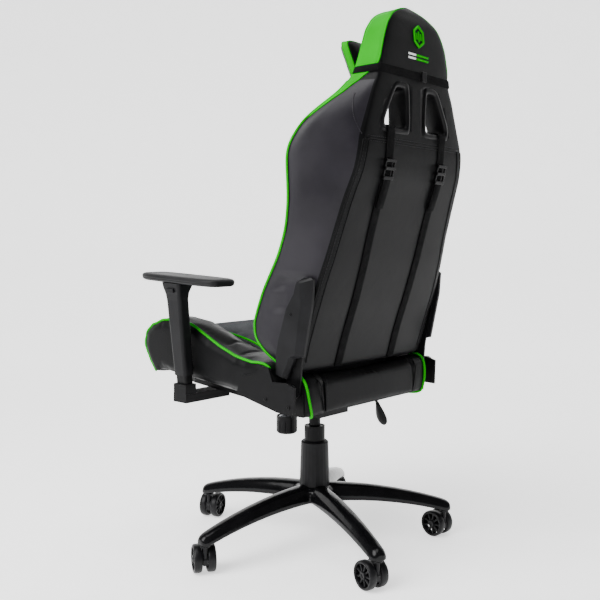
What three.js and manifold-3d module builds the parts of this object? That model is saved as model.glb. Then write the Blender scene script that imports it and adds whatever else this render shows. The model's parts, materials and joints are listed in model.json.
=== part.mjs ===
// A reclining gaming chair: star base on twin-wheel casters, gas lift, rocking seat mechanism,
// bucket seat, reclining bucket backrest and height-adjustable armrests.
// Units are millimetres and +Z is up. The sitter faces -Y, so the sitter's left is +X.
import * as THREE from "three";
import { mergeVertices } from "three/addons/utils/BufferGeometryUtils.js";
import Module from "manifold-3d";

const wasm = await Module();
wasm.setup();

// ---------------------------------------------------------------- driving dimensions
const GAP = 0.3; // air kept between two pieces that touch
const RUNNING = 0.1; // radial clearance of a shaft that turns or slides in a bore
const FULL_TURN = Math.PI * 2;

// casters
const WHEEL_R = 32;
const WHEEL_WIDTH = 19;
const WHEEL_SPACING = 31; // between the mid-planes of the two wheels
const WHEEL_WEB = 5;
const CASTER_TRAIL = 22;
const AXLE_R = 4;
const STEM_R = 5.5;
const STEM_LENGTH = 24;
const NECK_R = 11;
const HOOD_R = 28;
const HOOD_WIDTH = 10;
const CASTER_HEADINGS = [200, 237.2, 254.7, 263.7, 240]; // degrees, where each caster trails

// star base
const ARM_COUNT = 5;
const FIRST_ARM_ANGLE = -79.3;
const STEM_CIRCLE_R = 324.5;
const ARM_TIP_BOTTOM_Z = WHEEL_R * 2 + 3.5;
const ARM_TIP_OVERHANG = 15;
const ARM_TIP_HEIGHT = 20;
const ARM_TIP_WIDTH = 30;
const ARM_ROOT_HEIGHT = 36;
const ARM_ROOT_WIDTH = 50;
const ARM_ROOT_Z = 125; // height of the arm's centre line at the hub
const HUB_R = 50;
const HUB_BOTTOM_Z = 112;
const HUB_TOP_Z = 143;

// gas lift
const STAND_TUBE_R = 25;
const STAND_TUBE_WALL = 2;
const STAND_TUBE_TOP_Z = 288.5;
const CYLINDER_R = 14;
const CYLINDER_WALL = 2.5;
const CYLINDER_BOTTOM_Z = 150;
const CYLINDER_TOP_Z = 340;
const BUSHING_LENGTH = 60;
const ROD_R = 5;
const ROD_BOTTOM_Z = 104;
const ROD_TOP_Z = 268;
const BEARING_THICKNESS = 6;
const DUST_COVER_BOTTOM_R = STAND_TUBE_R + 12;
const DUST_COVER_TOP_R = STAND_TUBE_R + 8.5;
const DUST_COVER_TOP_Z = 251.5;
const DUST_COVER_WALL = 2.5;
const PIN_R = 4;
const PIN_HEIGHT = 10;

// rocking mechanism
const HOUSING_HALF_WIDTH = 52;
const HOUSING_BOTTOM_Z = 322;
const HOUSING_WALL = 3;
const HOUSING_FRONT_Y = -70;
const HOUSING_REAR_Y = 62;
const SOCKET_BOTTOM_Z = 310;
const SOCKET_R = CYLINDER_R + 7;
const TILT_PIN_Y = -24;
const TILT_PIN_Z = 352;
const TILT_PIN_R = 6;
const PLATE_THICKNESS = 3;
const PLATE_HALF_WIDTH = 66;
const PLATE_FRONT_Y = -125;
const PLATE_REAR_Y = 110;
const KNOB_Y = -92;
const KNOB_R = 26;
const KNOB_BOTTOM_Z = 256;
const KNOB_HEIGHT = 44;
const BOLT_R = 4;
const SPRING_R = 17;
const SPRING_WIRE_R = 2.4;
const SPRING_TURNS = 4;
const LEVER_Y = 6;
const LEVER_R = 4;
const LEVER_PIVOT_X = -26;
const SLIDE_END_X = -42;
const PADDLE_HALF_WIDTH = 16;

// seat
const SEAT_SLOPE = 0.0842; // the seat falls by this much for each mm rearwards
const FRAME_Z = 389; // the frame tube's centre height on the lift axis
const FRAME_TUBE = 20;
const FRAME_FRONT_Y = -235;
const FRAME_REAR_Y = 165;
const SEAT_HALF_WIDTH = 262;
const FRAME_HALF_WIDTH = SEAT_HALF_WIDTH - 57;
const INSERT_HALF_WIDTH = 162;
const SEAT_FRONT_Y = -331;
const BOLSTER_REAR_Y = 105;
const SKIRT_BOTTOM_Z = 362;

// recliner
const PIVOT_Y = 140;
const PIVOT_Z = 425;
const SHAFT_R = 8;
const ROLL_R = 29;
const ROLL_HALF_WIDTH = SEAT_HALF_WIDTH - 40;
const EAR_X = ROLL_HALF_WIDTH + 1.2;
const EAR_THICKNESS = 5;
const EAR_R = 24;
const ARM_X = EAR_X + EAR_THICKNESS + 1.4;
const ARM_THICKNESS = 5;
const ARM_EYE_R = 20;
const ARM_COVER_INNER_X = ARM_X + ARM_THICKNESS + 0.5;
const ARM_COVER_THICKNESS = 20;
const ARM_COVER_EDGE = 7; // how much of the thickness keeps the full outline
const SHIELD_THICKNESS = 5;
const RECLINE_LEVER_HUB_R = 18;
const RECLINE_LEVER_THICKNESS = 12;

// backrest
const BACK_HALF_WIDTH = ROLL_HALF_WIDTH + 10; // at the foot of the backrest
const PANEL_HALF_WIDTH = 150;
const SIDE_TUBE_R = 10;
const WING_INNER_X = 172;
const BACK_THICKNESS = 72;
const WING_FOOT_Y = 92;
const RECESS_FRONT_Y = 104; // the wing's side is let in behind the recliner arm
const RECESS_TOP_Z = 668;
const HEAD_JOIN_Z = 946;
const LOWER_BAR_Z = 464; // the back frame's lower crossbar
const LOWER_BAR_TOP_Z = 478;
const UPPER_BAR_Z = 931;
const BEZEL_WIDTH = 14;
const LUMBAR_Z = 640;
const STRAP_X = 98;
const STRAP_WIDTH = 25;
const STRAP_THICKNESS = 2;

// armrests
const POST_X = SEAT_HALF_WIDTH + 19;
const POST_Y = -148;
const POST_LEAN = 0.098; // radians outwards
const POST_WIDTH = 22;
const POST_DEPTH = 34;
const POST_LENGTH = 165;
const BAR_TOP_Z = 389;
const BAR_DEPTH = 44;
const BAR_THICKNESS = 20;
const BAR_OVERHANG = 8;
const BAR_INNER_X = 165;
const FOOT_TOP_Z = 411; // the foot block under the sleeve
const FOOT_HALF_WIDTH = 15.5;
const FOOT_DEPTH = 42;
const SLEEVE_WALL = 3;
const SLEEVE_BOTTOM_Z = 432;
const SLEEVE_FLARE_Z = 606;
const PAD_BOTTOM_Z = 642;
const PAD_THICKNESS = 17;
const PAD_LENGTH = 254;
const PAD_WIDTH = 90;
const PAD_CENTRE_X = SEAT_HALF_WIDTH + 23;
const PAD_CENTRE_Y = -136;
const PAD_SLOPE = 0.045;
const BUTTON_DEPTH = 14;

// ---------------------------------------------------------------- materials
function material(hex, roughness, metalness) {
  return new THREE.MeshStandardMaterial({ color: hex, roughness, metalness });
}
const blackLeather = material(0x141416, 0.5, 0);
const greyFabric = material(0x3a3c3f, 0.9, 0);
const greenLeather = material(0x12e02c, 0.5, 0);
const glossNylon = material(0x08080a, 0.15, 0);
const satinPlastic = material(0x17181a, 0.45, 0);
const rubber = material(0x101012, 0.7, 0);
const chrome = material(0xc9ccd0, 0.15, 1);
const steel = material(0x8c8f93, 0.35, 1);
const blackSteel = material(0x0e0e10, 0.4, 0.6);
const webbing = material(0x121212, 0.85, 0);

// ---------------------------------------------------------------- solid helpers
const AXES = {
  side: new THREE.Matrix4().makeBasis(
    new THREE.Vector3(0, 1, 0),
    new THREE.Vector3(0, 0, 1),
    new THREE.Vector3(1, 0, 0),
  ), // a (y, z) outline pushed along +X
  front: new THREE.Matrix4().makeBasis(
    new THREE.Vector3(1, 0, 0),
    new THREE.Vector3(0, 0, 1),
    new THREE.Vector3(0, -1, 0),
  ), // an (x, z) outline pushed along -Y
  plan: new THREE.Matrix4(), // an (x, y) outline pushed along +Z
};

function toSolid(geometry) {
  const bare = geometry.clone();
  bare.deleteAttribute("normal");
  bare.deleteAttribute("uv");
  const merged = mergeVertices(bare, 1e-4);
  return new wasm.Manifold(
    new wasm.Mesh({
      numProp: 3,
      vertProperties: new Float32Array(merged.attributes.position.array),
      triVerts: new Uint32Array(merged.index.array),
    }),
  );
}

function toGeometry(solid) {
  const mesh = solid.getMesh();
  const geometry = new THREE.BufferGeometry();
  geometry.setAttribute("position", new THREE.BufferAttribute(mesh.vertProperties, 3));
  geometry.setIndex(new THREE.BufferAttribute(mesh.triVerts, 1));
  geometry.computeVertexNormals();
  return geometry;
}

function join(...geometries) {
  const solids = geometries.map(toSolid);
  return toGeometry(solids.reduce((whole, piece) => whole.add(piece)));
}

function cut(geometry, ...tools) {
  const body = toSolid(geometry);
  return toGeometry(tools.map(toSolid).reduce((rest, tool) => rest.subtract(tool), body));
}

// An outline, given as [u, v] pairs, pushed from one depth to another along the chosen axis.
function prism(outline, from, to, axis, holes = []) {
  const shape = new THREE.Shape(outline.map(([u, v]) => new THREE.Vector2(u, v)));
  shape.holes = holes.map((hole) => new THREE.Path(hole.map(([u, v]) => new THREE.Vector2(u, v))));
  const depth = Math.abs(to - from);
  const geometry = new THREE.ExtrudeGeometry(shape, { depth, bevelEnabled: false });
  const start = axis === "front" ? Math.max(from, to) : Math.min(from, to);
  geometry.translate(0, 0, axis === "front" ? -start : start);
  return geometry.applyMatrix4(AXES[axis]);
}

function box(x0, x1, y0, y1, z0, z1) {
  const geometry = new THREE.BoxGeometry(x1 - x0, y1 - y0, z1 - z0);
  return geometry.translate((x0 + x1) / 2, (y0 + y1) / 2, (z0 + z1) / 2);
}

// Points of a circle in an outline.
function circle(u, v, radius, sides = 16) {
  return Array.from({ length: sides }, (_, i) => [
    u + radius * Math.cos((FULL_TURN * i) / sides),
    v + radius * Math.sin((FULL_TURN * i) / sides),
  ]);
}

// Points of an arc in an outline, with the angles in degrees.
function arc(u, v, radius, from, to, steps = 8) {
  return Array.from({ length: steps + 1 }, (_, i) => {
    const angle = THREE.MathUtils.degToRad(from + ((to - from) * i) / steps);
    return [u + radius * Math.cos(angle), v + radius * Math.sin(angle)];
  });
}

// A rectangle with round corners in an outline.
function roundedRect(width, height, radius, u = 0, v = 0, steps = 3) {
  const a = width / 2 - radius;
  const b = height / 2 - radius;
  return [
    ...arc(u + a, v + b, radius, 0, 90, steps),
    ...arc(u - a, v + b, radius, 90, 180, steps),
    ...arc(u - a, v - b, radius, 180, 270, steps),
    ...arc(u + a, v - b, radius, 270, 360, steps),
  ];
}

// A turned piece: [radius, z] pairs round +Z. The profile starts and ends on the axis or closes.
function turned(profile, segments = 24) {
  const points = profile.map(([r, z]) => new THREE.Vector2(r, z));
  const geometry = new THREE.LatheGeometry(points, segments);
  return outward(geometry.rotateX(Math.PI / 2));
}

function ringProfile(innerR, outerR, z0, z1) {
  return [
    [innerR, z0],
    [outerR, z0],
    [outerR, z1],
    [innerR, z1],
    [innerR, z0],
  ];
}

function rod(radius, z0, z1, segments = 16) {
  return turned(
    [
      [0, z0],
      [radius, z0],
      [radius, z1],
      [0, z1],
    ],
    segments,
  );
}

// A round bar along X.
function crossRod(radius, x0, x1, y, z, segments = 16) {
  return prism(circle(y, z, radius, segments), x0, x1, "side");
}

// Turns a closed surface the right way out.
function outward(geometry) {
  const flat = mergeVertices(geometry.deleteAttribute("uv").deleteAttribute("normal"), 1e-4);
  const index = Array.from(flat.index.array);
  const kept = [];
  const p = flat.attributes.position;
  let volume = 0;
  const [a, b, c] = [new THREE.Vector3(), new THREE.Vector3(), new THREE.Vector3()];
  for (let i = 0; i < index.length; i += 3) {
    const [ia, ib, ic] = [index[i], index[i + 1], index[i + 2]];
    if (ia === ib || ib === ic || ic === ia) continue;
    kept.push(ia, ib, ic);
    a.fromBufferAttribute(p, ia);
    b.fromBufferAttribute(p, ib);
    c.fromBufferAttribute(p, ic);
    volume += a.dot(b.cross(c));
  }
  flat.setIndex(volume < 0 ? kept.reverse() : kept);
  return flat;
}

// A closed skin through rings of points that all have the same count, with flat ends.
function loft(rings) {
  const count = rings[0].length;
  const positions = rings.flat().flatMap((point) => [point.x, point.y, point.z]);
  const index = [];
  for (let r = 0; r < rings.length - 1; r += 1) {
    for (let i = 0; i < count; i += 1) {
      const a = r * count + i;
      const b = r * count + ((i + 1) % count);
      index.push(a, b, b + count, a, b + count, a + count);
    }
  }
  for (const [ring, first] of [
    [rings[0], 0],
    [rings.at(-1), (rings.length - 1) * count],
  ]) {
    const centre = positions.length / 3;
    const middle = ring.reduce((sum, point) => sum.add(point), new THREE.Vector3());
    middle.divideScalar(count);
    positions.push(middle.x, middle.y, middle.z);
    for (let i = 0; i < count; i += 1) {
      const a = first + i;
      const b = first + ((i + 1) % count);
      index.push(...(first === 0 ? [b, a, centre] : [a, b, centre]));
    }
  }
  const geometry = new THREE.BufferGeometry();
  geometry.setAttribute("position", new THREE.Float32BufferAttribute(positions, 3));
  geometry.setIndex(index);
  return outward(geometry);
}

// Reads a table of [key, value] pairs between its rows.
function between(table, key) {
  const last = table.length - 1;
  if (key <= table[0][0]) return table[0][1];
  if (key >= table[last][0]) return table[last][1];
  const i = table.findIndex((row) => row[0] >= key);
  const [k0, v0] = table[i - 1];
  const [k1, v1] = table[i];
  return v0 + ((v1 - v0) * (key - k0)) / (k1 - k0);
}

const chair = new THREE.Group();

function place(name, geometry, look, parent = chair) {
  const mesh = new THREE.Mesh(geometry, look);
  mesh.name = name;
  parent.add(mesh);
  return mesh;
}

// ---------------------------------------------------------------- star base and casters
// One arm is a rounded bar that bows down and narrows from the hub to its tip.
function baseArm() {
  const reach = STEM_CIRCLE_R + ARM_TIP_OVERHANG;
  const tipZ = ARM_TIP_BOTTOM_Z + ARM_TIP_HEIGHT / 2;
  const stations = 6;
  const rings = [];
  for (let s = 0; s <= stations; s += 1) {
    const t = s / stations;
    const along = HUB_R * 0.4 + (reach - HUB_R * 0.4) * t;
    const drop = Math.pow(t, 2.1);
    const z = ARM_ROOT_Z + (tipZ - ARM_ROOT_Z) * drop;
    const width = ARM_ROOT_WIDTH + (ARM_TIP_WIDTH - ARM_ROOT_WIDTH) * t;
    const height = ARM_ROOT_HEIGHT + (ARM_TIP_HEIGHT - ARM_ROOT_HEIGHT) * t;
    const outline = roundedRect(width, height, height * 0.4, 0, z, 2);
    rings.push(outline.map(([v, w]) => new THREE.Vector3(along, v, w)));
  }
  const bore = rod(STEM_R + GAP, ARM_TIP_BOTTOM_Z - 5, ARM_TIP_BOTTOM_Z + STEM_LENGTH);
  return cut(loft(rings), bore.translate(STEM_CIRCLE_R, 0, 0));
}

function starBase() {
  const hub = turned([
    [0, HUB_BOTTOM_Z],
    [HUB_R, HUB_BOTTOM_Z],
    [HUB_R, HUB_TOP_Z - 6],
    [HUB_R - 6, HUB_TOP_Z],
    [0, HUB_TOP_Z],
  ]);
  const arms = [];
  for (let i = 0; i < ARM_COUNT; i += 1) {
    arms.push(baseArm().rotateZ(armAngle(i)));
  }
  const bore = rod(STAND_TUBE_R + GAP, HUB_BOTTOM_Z - 10, HUB_TOP_Z + 10, 24);
  return cut(join(hub, ...arms), bore);
}

function armAngle(i) {
  return THREE.MathUtils.degToRad(FIRST_ARM_ANGLE) + (FULL_TURN * i) / ARM_COUNT;
}

// The fork is a hood between the wheels with the neck and stem on top and the axle through it.
function casterFork() {
  const hood = prism(
    [
      ...arc(CASTER_TRAIL, WHEEL_R, HOOD_R, -20, 200, 8),
      [CASTER_TRAIL, WHEEL_R - 8],
    ],
    -HOOD_WIDTH / 2,
    HOOD_WIDTH / 2,
    "front",
  );
  const neckTop = ARM_TIP_BOTTOM_Z - GAP;
  const neck = turned([
    [0, WHEEL_R + 6],
    [HOOD_WIDTH / 2, WHEEL_R + 6],
    [HOOD_WIDTH / 2, neckTop - 2.5],
    [NECK_R, neckTop - 2.5],
    [NECK_R, neckTop],
    [STEM_R, neckTop],
    [STEM_R, ARM_TIP_BOTTOM_Z + STEM_LENGTH - GAP],
    [0, ARM_TIP_BOTTOM_Z + STEM_LENGTH - GAP],
  ], 12);
  const halfAxle = WHEEL_SPACING / 2 + WHEEL_WIDTH / 2 - 2;
  const axle = prism(circle(CASTER_TRAIL, WHEEL_R, AXLE_R, 12), -halfAxle, halfAxle, "front");
  return join(hood, neck, axle);
}

// A wheel is a rim and a hub joined by a thin web, on its side round the local Y axis.
function casterWheel() {
  const half = WHEEL_WIDTH / 2;
  const web = WHEEL_WEB / 2;
  const bore = AXLE_R + RUNNING;
  const hubR = AXLE_R + 4;
  const rimR = WHEEL_R - 6;
  const profile = [
    [bore, -half],
    [hubR, -half],
    [hubR, -web],
    [rimR, -web],
    [rimR, -half],
    [WHEEL_R, -half + 3],
    [WHEEL_R, half - 3],
    [rimR, half],
    [rimR, web],
    [hubR, web],
    [hubR, half],
    [bore, half],
    [bore, -half],
  ];
  return turned(profile, 18).rotateX(Math.PI / 2);
}

function caster(i) {
  const group = new THREE.Group();
  const angle = armAngle(i);
  group.position.set(STEM_CIRCLE_R * Math.cos(angle), STEM_CIRCLE_R * Math.sin(angle), 0);
  group.rotation.z = THREE.MathUtils.degToRad(CASTER_HEADINGS[i]);
  chair.add(group);
  place(`caster_fork_${i + 1}`, casterFork(), satinPlastic, group);
  for (const [label, side] of [["a", 1], ["b", -1]]) {
    const wheel = place(`caster_wheel_${i + 1}${label}`, casterWheel(), rubber, group);
    wheel.position.set(CASTER_TRAIL, (side * WHEEL_SPACING) / 2, WHEEL_R);
  }
}

// ---------------------------------------------------------------- gas lift
function standTube() {
  const inner = STAND_TUBE_R - STAND_TUBE_WALL;
  const floor = HUB_BOTTOM_Z + 4;
  return turned([
    [ROD_R + RUNNING, HUB_BOTTOM_Z],
    [STAND_TUBE_R, HUB_BOTTOM_Z],
    [STAND_TUBE_R, STAND_TUBE_TOP_Z],
    [inner, STAND_TUBE_TOP_Z],
    [inner, floor],
    [ROD_R + RUNNING, floor],
    [ROD_R + RUNNING, HUB_BOTTOM_Z],
  ]);
}

function guideBushing() {
  const outer = STAND_TUBE_R - STAND_TUBE_WALL - GAP;
  const bottom = STAND_TUBE_TOP_Z - BUSHING_LENGTH;
  return turned(ringProfile(CYLINDER_R + RUNNING, outer, bottom, STAND_TUBE_TOP_Z - 1));
}

function dustCover() {
  const bore = STAND_TUBE_R + GAP;
  const bottom = HUB_TOP_Z + GAP;
  return turned([
    [DUST_COVER_BOTTOM_R - DUST_COVER_WALL, bottom],
    [DUST_COVER_BOTTOM_R, bottom],
    [DUST_COVER_TOP_R, DUST_COVER_TOP_Z - 3],
    [DUST_COVER_TOP_R - 3, DUST_COVER_TOP_Z],
    [bore, DUST_COVER_TOP_Z],
    [bore, DUST_COVER_TOP_Z - 4],
    [DUST_COVER_TOP_R - DUST_COVER_WALL - 2, DUST_COVER_TOP_Z - 4],
    [DUST_COVER_BOTTOM_R - DUST_COVER_WALL, bottom],
  ]);
}

// The rod stands on its thrust bearing, carries the piston and ends in a clip under the tube.
function pistonRod() {
  const bearingTop = HUB_BOTTOM_Z + 4 + GAP + BEARING_THICKNESS + GAP;
  const pistonR = CYLINDER_R - CYLINDER_WALL - RUNNING;
  return turned([
    [0, ROD_BOTTOM_Z],
    [ROD_R + 3, ROD_BOTTOM_Z],
    [ROD_R + 3, HUB_BOTTOM_Z - GAP],
    [ROD_R, HUB_BOTTOM_Z - GAP],
    [ROD_R, bearingTop],
    [ROD_R + 4, bearingTop],
    [ROD_R + 4, bearingTop + 4],
    [ROD_R, bearingTop + 4],
    [ROD_R, ROD_TOP_Z - 10],
    [pistonR, ROD_TOP_Z - 10],
    [pistonR, ROD_TOP_Z],
    [0, ROD_TOP_Z],
  ], 24);
}

function thrustBearing() {
  const bottom = HUB_BOTTOM_Z + 4 + GAP;
  return turned(ringProfile(ROD_R + GAP, ROD_R + 9, bottom, bottom + BEARING_THICKNESS), 24);
}

function pressureCylinder() {
  const inner = CYLINDER_R - CYLINDER_WALL;
  return turned([
    [ROD_R + RUNNING, CYLINDER_BOTTOM_Z],
    [CYLINDER_R, CYLINDER_BOTTOM_Z],
    [CYLINDER_R, CYLINDER_TOP_Z],
    [PIN_R + RUNNING, CYLINDER_TOP_Z],
    [PIN_R + RUNNING, CYLINDER_TOP_Z - 20],
    [inner, CYLINDER_TOP_Z - 20],
    [inner, CYLINDER_BOTTOM_Z + 8],
    [ROD_R + RUNNING, CYLINDER_BOTTOM_Z + 8],
    [ROD_R + RUNNING, CYLINDER_BOTTOM_Z],
  ]);
}

function releasePin() {
  return rod(PIN_R, CYLINDER_TOP_Z - 12, CYLINDER_TOP_Z + PIN_HEIGHT, 16);
}

// ---------------------------------------------------------------- rocking mechanism
// A steel channel with a socket for the cylinder, open at the top.
function mechanismHousing() {
  const top = TILT_PIN_Z + TILT_PIN_R + 3;
  const rearTop = HOUSING_BOTTOM_Z + 10;
  const sideOutline = [
    [HOUSING_FRONT_Y, HOUSING_BOTTOM_Z],
    [HOUSING_REAR_Y, HOUSING_BOTTOM_Z],
    [HOUSING_REAR_Y, rearTop],
    [TILT_PIN_Y + 8, top],
    [TILT_PIN_Y - 8, top],
    [HOUSING_FRONT_Y, HOUSING_BOTTOM_Z + 14],
  ];
  const shell = prism(sideOutline, -HOUSING_HALF_WIDTH, HOUSING_HALF_WIDTH, "side");
  const inside = HOUSING_HALF_WIDTH - HOUSING_WALL;
  const hollow = box(
    -inside,
    inside,
    HOUSING_FRONT_Y + HOUSING_WALL,
    HOUSING_REAR_Y - HOUSING_WALL,
    HOUSING_BOTTOM_Z + HOUSING_WALL,
    top + 10,
  );
  const socket = rod(SOCKET_R, SOCKET_BOTTOM_Z, CYLINDER_TOP_Z - 8, 24);
  const bore = rod(CYLINDER_R + GAP, SOCKET_BOTTOM_Z - 5, CYLINDER_TOP_Z + 5, 24);
  const pinHole = crossRod(
    TILT_PIN_R + RUNNING,
    -HOUSING_HALF_WIDTH - 5,
    HOUSING_HALF_WIDTH + 5,
    TILT_PIN_Y,
    TILT_PIN_Z,
  );
  const slotHalf = LEVER_R + 5;
  const leverSlot = box(
    -HOUSING_HALF_WIDTH - 5,
    -inside + 5,
    LEVER_Y - slotHalf,
    LEVER_Y + slotHalf,
    HOUSING_BOTTOM_Z + HOUSING_WALL,
    top + 10,
  );
  const springSeat = box(
    -KNOB_R,
    KNOB_R,
    KNOB_Y - KNOB_R + 4,
    HOUSING_FRONT_Y + 1,
    HOUSING_BOTTOM_Z,
    HOUSING_BOTTOM_Z + HOUSING_WALL,
  );
  const boltSlot = box(
    -BOLT_R - 2,
    BOLT_R + 2,
    KNOB_Y - BOLT_R - 9,
    KNOB_Y + BOLT_R + 3,
    HOUSING_BOTTOM_Z - 5,
    HOUSING_BOTTOM_Z + 20,
  );
  return cut(join(cut(shell, hollow), socket, springSeat), bore, pinHole, leverSlot, boltSlot);
}

function tiltPin() {
  const half = PLATE_HALF_WIDTH + 4;
  return crossRod(TILT_PIN_R, -half, half, TILT_PIN_Y, TILT_PIN_Z);
}

// The seat plate: a flat top that bolts under the seat frame, and two cheeks on the tilt pin.
function tiltPlate() {
  const top = FRAME_Z - FRAME_TUBE / 2 - GAP;
  const height = (y, drop) => top - drop - SEAT_SLOPE * y;
  const flat = prism(
    [
      [PLATE_FRONT_Y, height(PLATE_FRONT_Y, PLATE_THICKNESS)],
      [PLATE_REAR_Y, height(PLATE_REAR_Y, PLATE_THICKNESS)],
      [PLATE_REAR_Y, height(PLATE_REAR_Y, 0)],
      [PLATE_FRONT_Y, height(PLATE_FRONT_Y, 0)],
    ],
    -PLATE_HALF_WIDTH,
    PLATE_HALF_WIDTH,
    "side",
  );
  const cheekInner = HOUSING_HALF_WIDTH + 1.5;
  const cheekOutline = [
    [TILT_PIN_Y - 60, height(TILT_PIN_Y - 60, 1)],
    [TILT_PIN_Y - 14, TILT_PIN_Z - 12],
    [TILT_PIN_Y + 14, TILT_PIN_Z - 12],
    [TILT_PIN_Y + 22, height(TILT_PIN_Y + 22, 1)],
  ];
  const cheeks = [1, -1].map((side) => {
    const outer = cheekInner + PLATE_THICKNESS;
    return prism(cheekOutline, side * cheekInner, side * outer, "side");
  });
  const hole = crossRod(
    TILT_PIN_R + GAP,
    -PLATE_HALF_WIDTH - 10,
    PLATE_HALF_WIDTH + 10,
    TILT_PIN_Y,
    TILT_PIN_Z,
  );
  const boltTop = height(KNOB_Y, 1);
  const bolt = rod(BOLT_R, KNOB_BOTTOM_Z + 12, boltTop, 16).translate(0, KNOB_Y, 0);
  return join(cut(join(flat, ...cheeks), hole), bolt);
}

// The tension knob is a cup that turns on the bolt and holds the spring.
function tensionKnob() {
  const wall = 3;
  const grips = 10;
  const cup = turned([
    [BOLT_R + RUNNING, KNOB_BOTTOM_Z],
    [KNOB_R - 4, KNOB_BOTTOM_Z],
    [KNOB_R, KNOB_BOTTOM_Z + 4],
    [KNOB_R, KNOB_BOTTOM_Z + KNOB_HEIGHT],
    [KNOB_R - wall, KNOB_BOTTOM_Z + KNOB_HEIGHT],
    [KNOB_R - wall, KNOB_BOTTOM_Z + 10],
    [BOLT_R + RUNNING, KNOB_BOTTOM_Z + 10],
    [BOLT_R + RUNNING, KNOB_BOTTOM_Z],
  ]);
  const flutes = [];
  for (let i = 0; i < grips; i += 1) {
    const angle = (FULL_TURN * i) / grips;
    const flute = rod(3, KNOB_BOTTOM_Z - 5, KNOB_BOTTOM_Z + KNOB_HEIGHT - 12, 8);
    flutes.push(flute.translate((KNOB_R + 1) * Math.cos(angle), (KNOB_R + 1) * Math.sin(angle), 0));
  }
  return cut(cup, ...flutes).translate(0, KNOB_Y, 0);
}

// A coil between the knob's floor and the seat plate.
class Coil extends THREE.Curve {
  constructor(radius, turns, z0, z1) {
    super();
    Object.assign(this, { radius, turns, z0, z1 });
  }

  getPoint(t, target = new THREE.Vector3()) {
    const angle = t * this.turns * FULL_TURN;
    const z = this.z0 + (this.z1 - this.z0) * t;
    return target.set(this.radius * Math.cos(angle), this.radius * Math.sin(angle), z);
  }
}

function tensionSpring() {
  const bottom = KNOB_BOTTOM_Z + 10 + SPRING_WIRE_R + GAP;
  const top = HOUSING_BOTTOM_Z - SPRING_WIRE_R - GAP;
  const section = new THREE.Shape(
    circle(0, 0, SPRING_WIRE_R, 6).map(([u, v]) => new THREE.Vector2(u, v)),
  );
  const path = new Coil(SPRING_R, SPRING_TURNS, bottom, top);
  const steps = SPRING_TURNS * 12;
  const coil = new THREE.ExtrudeGeometry(section, { steps, extrudePath: path, bevelEnabled: false });
  return outward(coil).translate(0, KNOB_Y, 0);
}

// A block that slides along the housing floor and carries the lever: pulled out, it frees the tilt.
function lockSlide() {
  const bottom = HOUSING_BOTTOM_Z + HOUSING_WALL + GAP;
  const half = LEVER_R + 4;
  const top = CYLINDER_TOP_Z + PIN_HEIGHT;
  return box(SLIDE_END_X, LEVER_PIVOT_X + 4, LEVER_Y - half, LEVER_Y + half, bottom, top);
}

// A bent rod: tongue over the release pin, arm out to the sitter's right, and a flat paddle.
function heightLever() {
  const pinTop = CYLINDER_TOP_Z + PIN_HEIGHT + GAP;
  const z = pinTop + LEVER_R;
  const path = new THREE.CatmullRomCurve3(
    [
      new THREE.Vector3(10, LEVER_Y, z),
      new THREE.Vector3(-60, LEVER_Y, z),
      new THREE.Vector3(-150, LEVER_Y, z - 8),
      new THREE.Vector3(-222, LEVER_Y, z - 24),
      new THREE.Vector3(-246, LEVER_Y, z - 44),
      new THREE.Vector3(-254, LEVER_Y, z - 60),
    ],
    false,
    "catmullrom",
    0.5,
  );
  const section = new THREE.Shape(
    circle(0, 0, LEVER_R, 10).map(([u, v]) => new THREE.Vector2(u, v)),
  );
  const bar = outward(
    new THREE.ExtrudeGeometry(section, { steps: 24, extrudePath: path, bevelEnabled: false }),
  );
  const paddle = prism(
    [
      [-243, z - 52],
      [-252, z - 48],
      [-266, z - 76],
      [-285, z - 104],
      [-282, z - 112],
      [-272, z - 112],
      [-256, z - 86],
    ],
    LEVER_Y - PADDLE_HALF_WIDTH,
    LEVER_Y + PADDLE_HALF_WIDTH,
    "front",
  );
  return join(bar, paddle);
}

// ---------------------------------------------------------------- seat
// A flat welded ladder of square tube, with an upright ear at each rear corner for the recliner.
function seatFrame() {
  const halfTube = FRAME_TUBE / 2;
  const railInner = FRAME_HALF_WIDTH - FRAME_TUBE;
  const crossbars = [FRAME_FRONT_Y, -100, 80, FRAME_REAR_Y - FRAME_TUBE];
  const outline = roundedRect(
    FRAME_HALF_WIDTH * 2,
    FRAME_REAR_Y - FRAME_FRONT_Y,
    30,
    0,
    (FRAME_REAR_Y + FRAME_FRONT_Y) / 2,
  );
  const holes = [];
  for (let i = 0; i < crossbars.length - 1; i += 1) {
    const y0 = crossbars[i] + FRAME_TUBE;
    const y1 = crossbars[i + 1];
    holes.push(roundedRect(railInner * 2, y1 - y0, 12, 0, (y0 + y1) / 2));
  }
  const ladder = prism(outline, -halfTube, halfTube, "plan", holes);
  ladder.applyMatrix4(seatPlane(FRAME_Z));
  const earBottom = FRAME_Z - SEAT_SLOPE * FRAME_REAR_Y - halfTube + 1;
  const earFront = BOLSTER_REAR_Y + 5;
  const ears = [1, -1].map((side) => {
    const eye = arc(PIVOT_Y, PIVOT_Z, EAR_R, 0, 180, 12);
    const outlineEar = [...eye, [earFront, earBottom + FRAME_TUBE], [earFront, earBottom]];
    outlineEar.push([PIVOT_Y + EAR_R, earBottom]);
    const inner = side * EAR_X;
    const outer = side * (EAR_X + EAR_THICKNESS);
    const plate = prism(outlineEar, inner, outer, "side");
    const foot = box(
      side > 0 ? railInner : -outer * side,
      side > 0 ? outer : -railInner,
      earFront,
      FRAME_REAR_Y - 2,
      earBottom,
      earBottom + FRAME_TUBE / 2,
    );
    return join(plate, foot);
  });
  const shaftHole = crossRod(SHAFT_R + GAP, -EAR_X - 20, EAR_X + 20, PIVOT_Y, PIVOT_Z);
  return cut(join(ladder, ...ears), shaftHole);
}

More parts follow.
